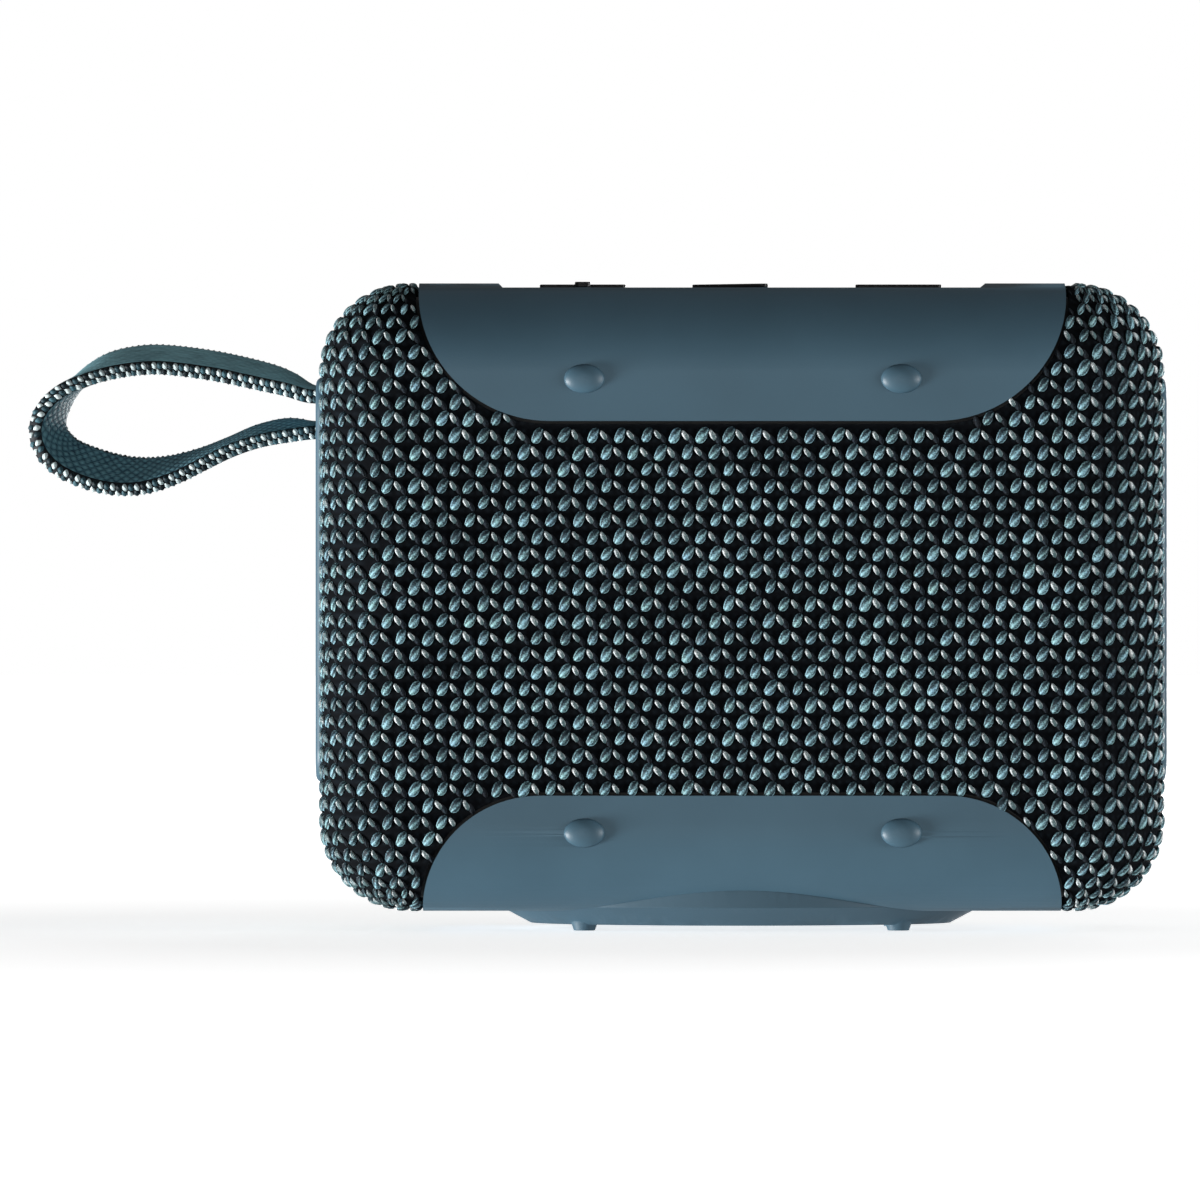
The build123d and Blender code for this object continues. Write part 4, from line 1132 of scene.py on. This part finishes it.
@dataclass(frozen=True)
class Nub:
    """A soft raised foot on the rear of a panel, in metres."""

    name: str
    x: float
    z: float
    half_w: float = 2.1 * MM
    half_h: float = 1.5 * MM
    base_y: float = 20.3 * MM
    proud: float = 0.8 * MM

    def build(self, material: Material) -> Piece:
        """A domed bump that runs out smoothly into the panel."""
        rings, around = 12, 40
        points, faces = [], []
        for ring in range(1, rings + 1):
            share = ring / rings
            rise = self.proud * max(0.0, 1 - share ** 2.6) ** 0.8
            for step in range(around):
                angle = 2 * math.pi * step / around
                points.append((
                    self.x + math.cos(angle) * self.half_w * share, self.base_y + rise - 0.02 * MM,
                    self.z + math.sin(angle) * self.half_h * share))
        count = rings * around
        points.append((self.x, self.base_y + self.proud, self.z))
        points.append((self.x, self.base_y - 0.3 * MM, self.z))
        for ring in range(rings - 1):
            for step in range(around):
                after = (step + 1) % around
                first = ring * around
                faces.append((
                    first + step, first + after, first + around + after, first + around + step))
        last = count - around
        for step in range(around):
            after = (step + 1) % around
            faces.append((step, after, count))
            faces.append((last + step, last + after, count + 1))
        nub = mesh_from(self.name, points, faces)
        dress(nub, material)
        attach(nub, "body")
        return nub


class Case:
    """The hard parts: each gets its slot's material, and the visible ones get eased edges.

    EASED gives the width of each visible part's bevel.
    """

    EASED = {
        "top_panel": 0.0, "base_panel": 0.0, "base_foot": 0.12 * MM, "strap_side_panel": 0.0,
        "port_side_panel": 0.0, "plus_key": 0.05 * MM, "minus_key": 0.05 * MM,
        "play_key": 0.05 * MM, "plus_symbol": 0.08 * MM, "minus_symbol": 0.08 * MM,
        "play_symbol": 0.08 * MM, "power_key": 0.12 * MM, "pairing_key": 0.12 * MM,
        "status_lens": 0.0, "socket_shell": 0.0, "strap_pin": 0.0, "front_grille": 0.0}
    NUB_HEIGHTS = {"top_panel": 56.7 * MM, "base_panel": 10.3 * MM}
    NUB_OFFSET = 16.2 * MM

    def __init__(self, frame: dict, finishes: Finishes) -> None:
        """Keep what the loader returned and the shared finishes."""
        self.frame = frame
        self.finishes = finishes

    def build(self) -> list[Piece]:
        """Dress every part, and put an eased copy in place of each visible hard part."""
        made = []
        record = self.frame["record"]
        slots = {row["node"]: row["material_slot"] for row in record["subparts"]}
        bodies = {
            node: body for body, nodes in record["behaviour"]["bodies"].items() for node in nodes}
        for node, part in self.frame["nodes"].items():
            if node in ("fabric_sleeve", "wrist_strap"):
                continue
            slot = slots[node]
            material = self.finishes.by_slot[slot]
            dress(part, material)
            if node not in self.EASED:
                continue
            ribbed = node in self.NUB_HEIGHTS
            copy = softened(
                node, node + "_eased", self.EASED[node], level=Nub.base_y if ribbed else None)
            if ribbed:
                made += self._soft_nubs(node)
            dress(copy, material)
            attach(copy, bodies[node])
            made.append(copy)
        return made

    def _soft_nubs(self, node: str) -> list[Piece]:
        """Set two soft nubs on a panel's rear face, where its hard ones were."""
        name, high = node.replace("panel", "nub"), self.NUB_HEIGHTS[node]
        return [Nub(name + label, x, high).build(self.finishes.by_slot["panel"])
                for label, x in (("_left", self.NUB_OFFSET), ("_right", -self.NUB_OFFSET))]


@dataclass(frozen=True)
class Lamp:
    """One soft studio light, in metres and watts."""

    name: str
    place: tuple[float, float, float]
    size: float
    power: float


class Studio:
    """Pale floor, soft lights and the camera; the floor and lights are set off the object's own box.
    """

    LAMPS = (
        Lamp("key_light", (0.86, 0.2, -0.28), 0.24, 14.0),
        Lamp("fill_light", (-0.85, 0.3, 0.0), 0.3, 4.5),
        Lamp("front_light", (0.2, 1.3, -0.05), 0.3, 1.2),
        Lamp("far_light", (-0.35, -1.1, -0.06), 0.4, 9.0))
    FLOOR_HALF = 4.0
    FLOOR_GLOW = 0.22
    ROOM_LIGHT = 0.15
    CAMERA_AWAY = 1.2
    VIEW_WIDTH = 0.1247
    VIEW_MIDDLE = (0.0146, 0.0341)
    SENSOR = 36.0

    def __init__(self) -> None:
        """Read the object's middle."""
        low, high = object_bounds()
        self.middle = (Vector(low) + Vector(high)) / 2

    def _floor(self) -> None:
        """A pale floor under the object, which the camera sees lit white further off."""
        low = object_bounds()[0][2]
        board = Board("pale_floor")
        cloud = board.noise(6.0)
        away = board.node("ShaderNodeVectorMath", {"operation": "LENGTH"}, {0: board.place()})[1]
        seen = board.node("ShaderNodeLightPath", {}, {})[0]
        lit = board.mix(((away - 0.08) * 6.0).held(), (0.72, 0.72, 0.72), (1.0, 1.0, 1.0))
        material = board.finish(
            Base_Color=board.mix(cloud, (0.84, 0.84, 0.84), (0.9, 0.9, 0.9)), Roughness=0.75,
            Emission_Color=board.mix(seen, (self.FLOOR_GLOW,) * 3, lit), Emission_Strength=1.0)
        mesh = bpy.data.meshes.new("floor")
        wide = self.FLOOR_HALF
        mesh.from_pydata(
            [(-wide, -wide, low), (wide, -wide, low), (wide, wide, low), (-wide, wide, low)], [],
            [(0, 1, 2, 3)])
        floor = link_mesh("floor", mesh)
        dress(floor, material)
        floor.visible_shadow = False
        floor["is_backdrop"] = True

    def _lamp(self, lamp: Lamp) -> None:
        """A square area light that faces the object."""
        data = bpy.data.lights.new(lamp.name, "AREA")
        data.energy = lamp.power
        data.size = lamp.size
        made = bpy.data.objects.new(lamp.name, data)
        bpy.context.scene.collection.objects.link(made)
        made.location = self.middle + Vector(lamp.place)
        made.rotation_euler = (self.middle - made.location).to_track_quat("-Z", "Y").to_euler()
        made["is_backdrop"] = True

    def _surround(self) -> None:
        """Even white surroundings, full for the camera and faint as light."""
        world = bpy.data.worlds.new("white_room")
        bpy.context.scene.world = world
        world.use_nodes = True
        tree = world.node_tree
        tree.nodes.clear()
        seen = tree.nodes.new("ShaderNodeLightPath").outputs["Is Camera Ray"]
        strength = tree.nodes.new("ShaderNodeMapRange")
        strength.inputs["To Min"].default_value = self.ROOM_LIGHT
        strength.inputs["To Max"].default_value = 1.0
        back = tree.nodes.new("ShaderNodeBackground")
        back.inputs["Color"].default_value = (1.0, 1.0, 1.0, 1.0)
        leave = tree.nodes.new("ShaderNodeOutputWorld")
        tree.links.new(seen, strength.inputs["Value"])
        tree.links.new(strength.outputs["Result"], back.inputs["Strength"])
        tree.links.new(back.outputs["Background"], leave.inputs["Surface"])
        bpy.context.scene.view_settings.view_transform = "Standard"

    def _camera(self) -> None:
        """A long lens, square to the rear face."""
        data = bpy.data.cameras.new("camera")
        data.sensor_width = self.SENSOR
        data.lens = self.SENSOR * self.CAMERA_AWAY / self.VIEW_WIDTH
        camera = bpy.data.objects.new("camera", data)
        bpy.context.scene.collection.objects.link(camera)
        camera.location = (self.VIEW_MIDDLE[0], self.CAMERA_AWAY, self.VIEW_MIDDLE[1])
        camera.rotation_euler = (math.pi / 2, 0.0, math.pi)
        bpy.context.scene.camera = camera

    def build(self) -> None:
        """Set up the floor, lights, surroundings and camera."""
        self._floor()
        for lamp in self.LAMPS:
            self._lamp(lamp)
        self._surround()
        self._camera()


def note_size(label: str, sizes: dict) -> None:
    low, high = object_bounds()
    sizes[label] = [[round(float(edge), 6) for edge in low], [round(float(edge), 6) for edge in high]]


def main() -> None:
    """Dress the speaker and set the studio."""
    logging.basicConfig(level=logging.INFO, format="%(message)s")
    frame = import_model()
    sizes: dict = {}
    note_size("cad_box", sizes)
    finishes = Finishes()
    makers = (
        Case(frame, finishes), SideMarks(finishes.print_pale), SleeveWeave(finishes),
        WristStrap(finishes))
    for maker in makers:
        for piece in maker.build():
            LOG.info("%s: %d faces", piece.name, len(piece.data.polygons))
    Studio().build()
    note_size("visual_box", sizes)


if __name__ == "__main__":
    main()
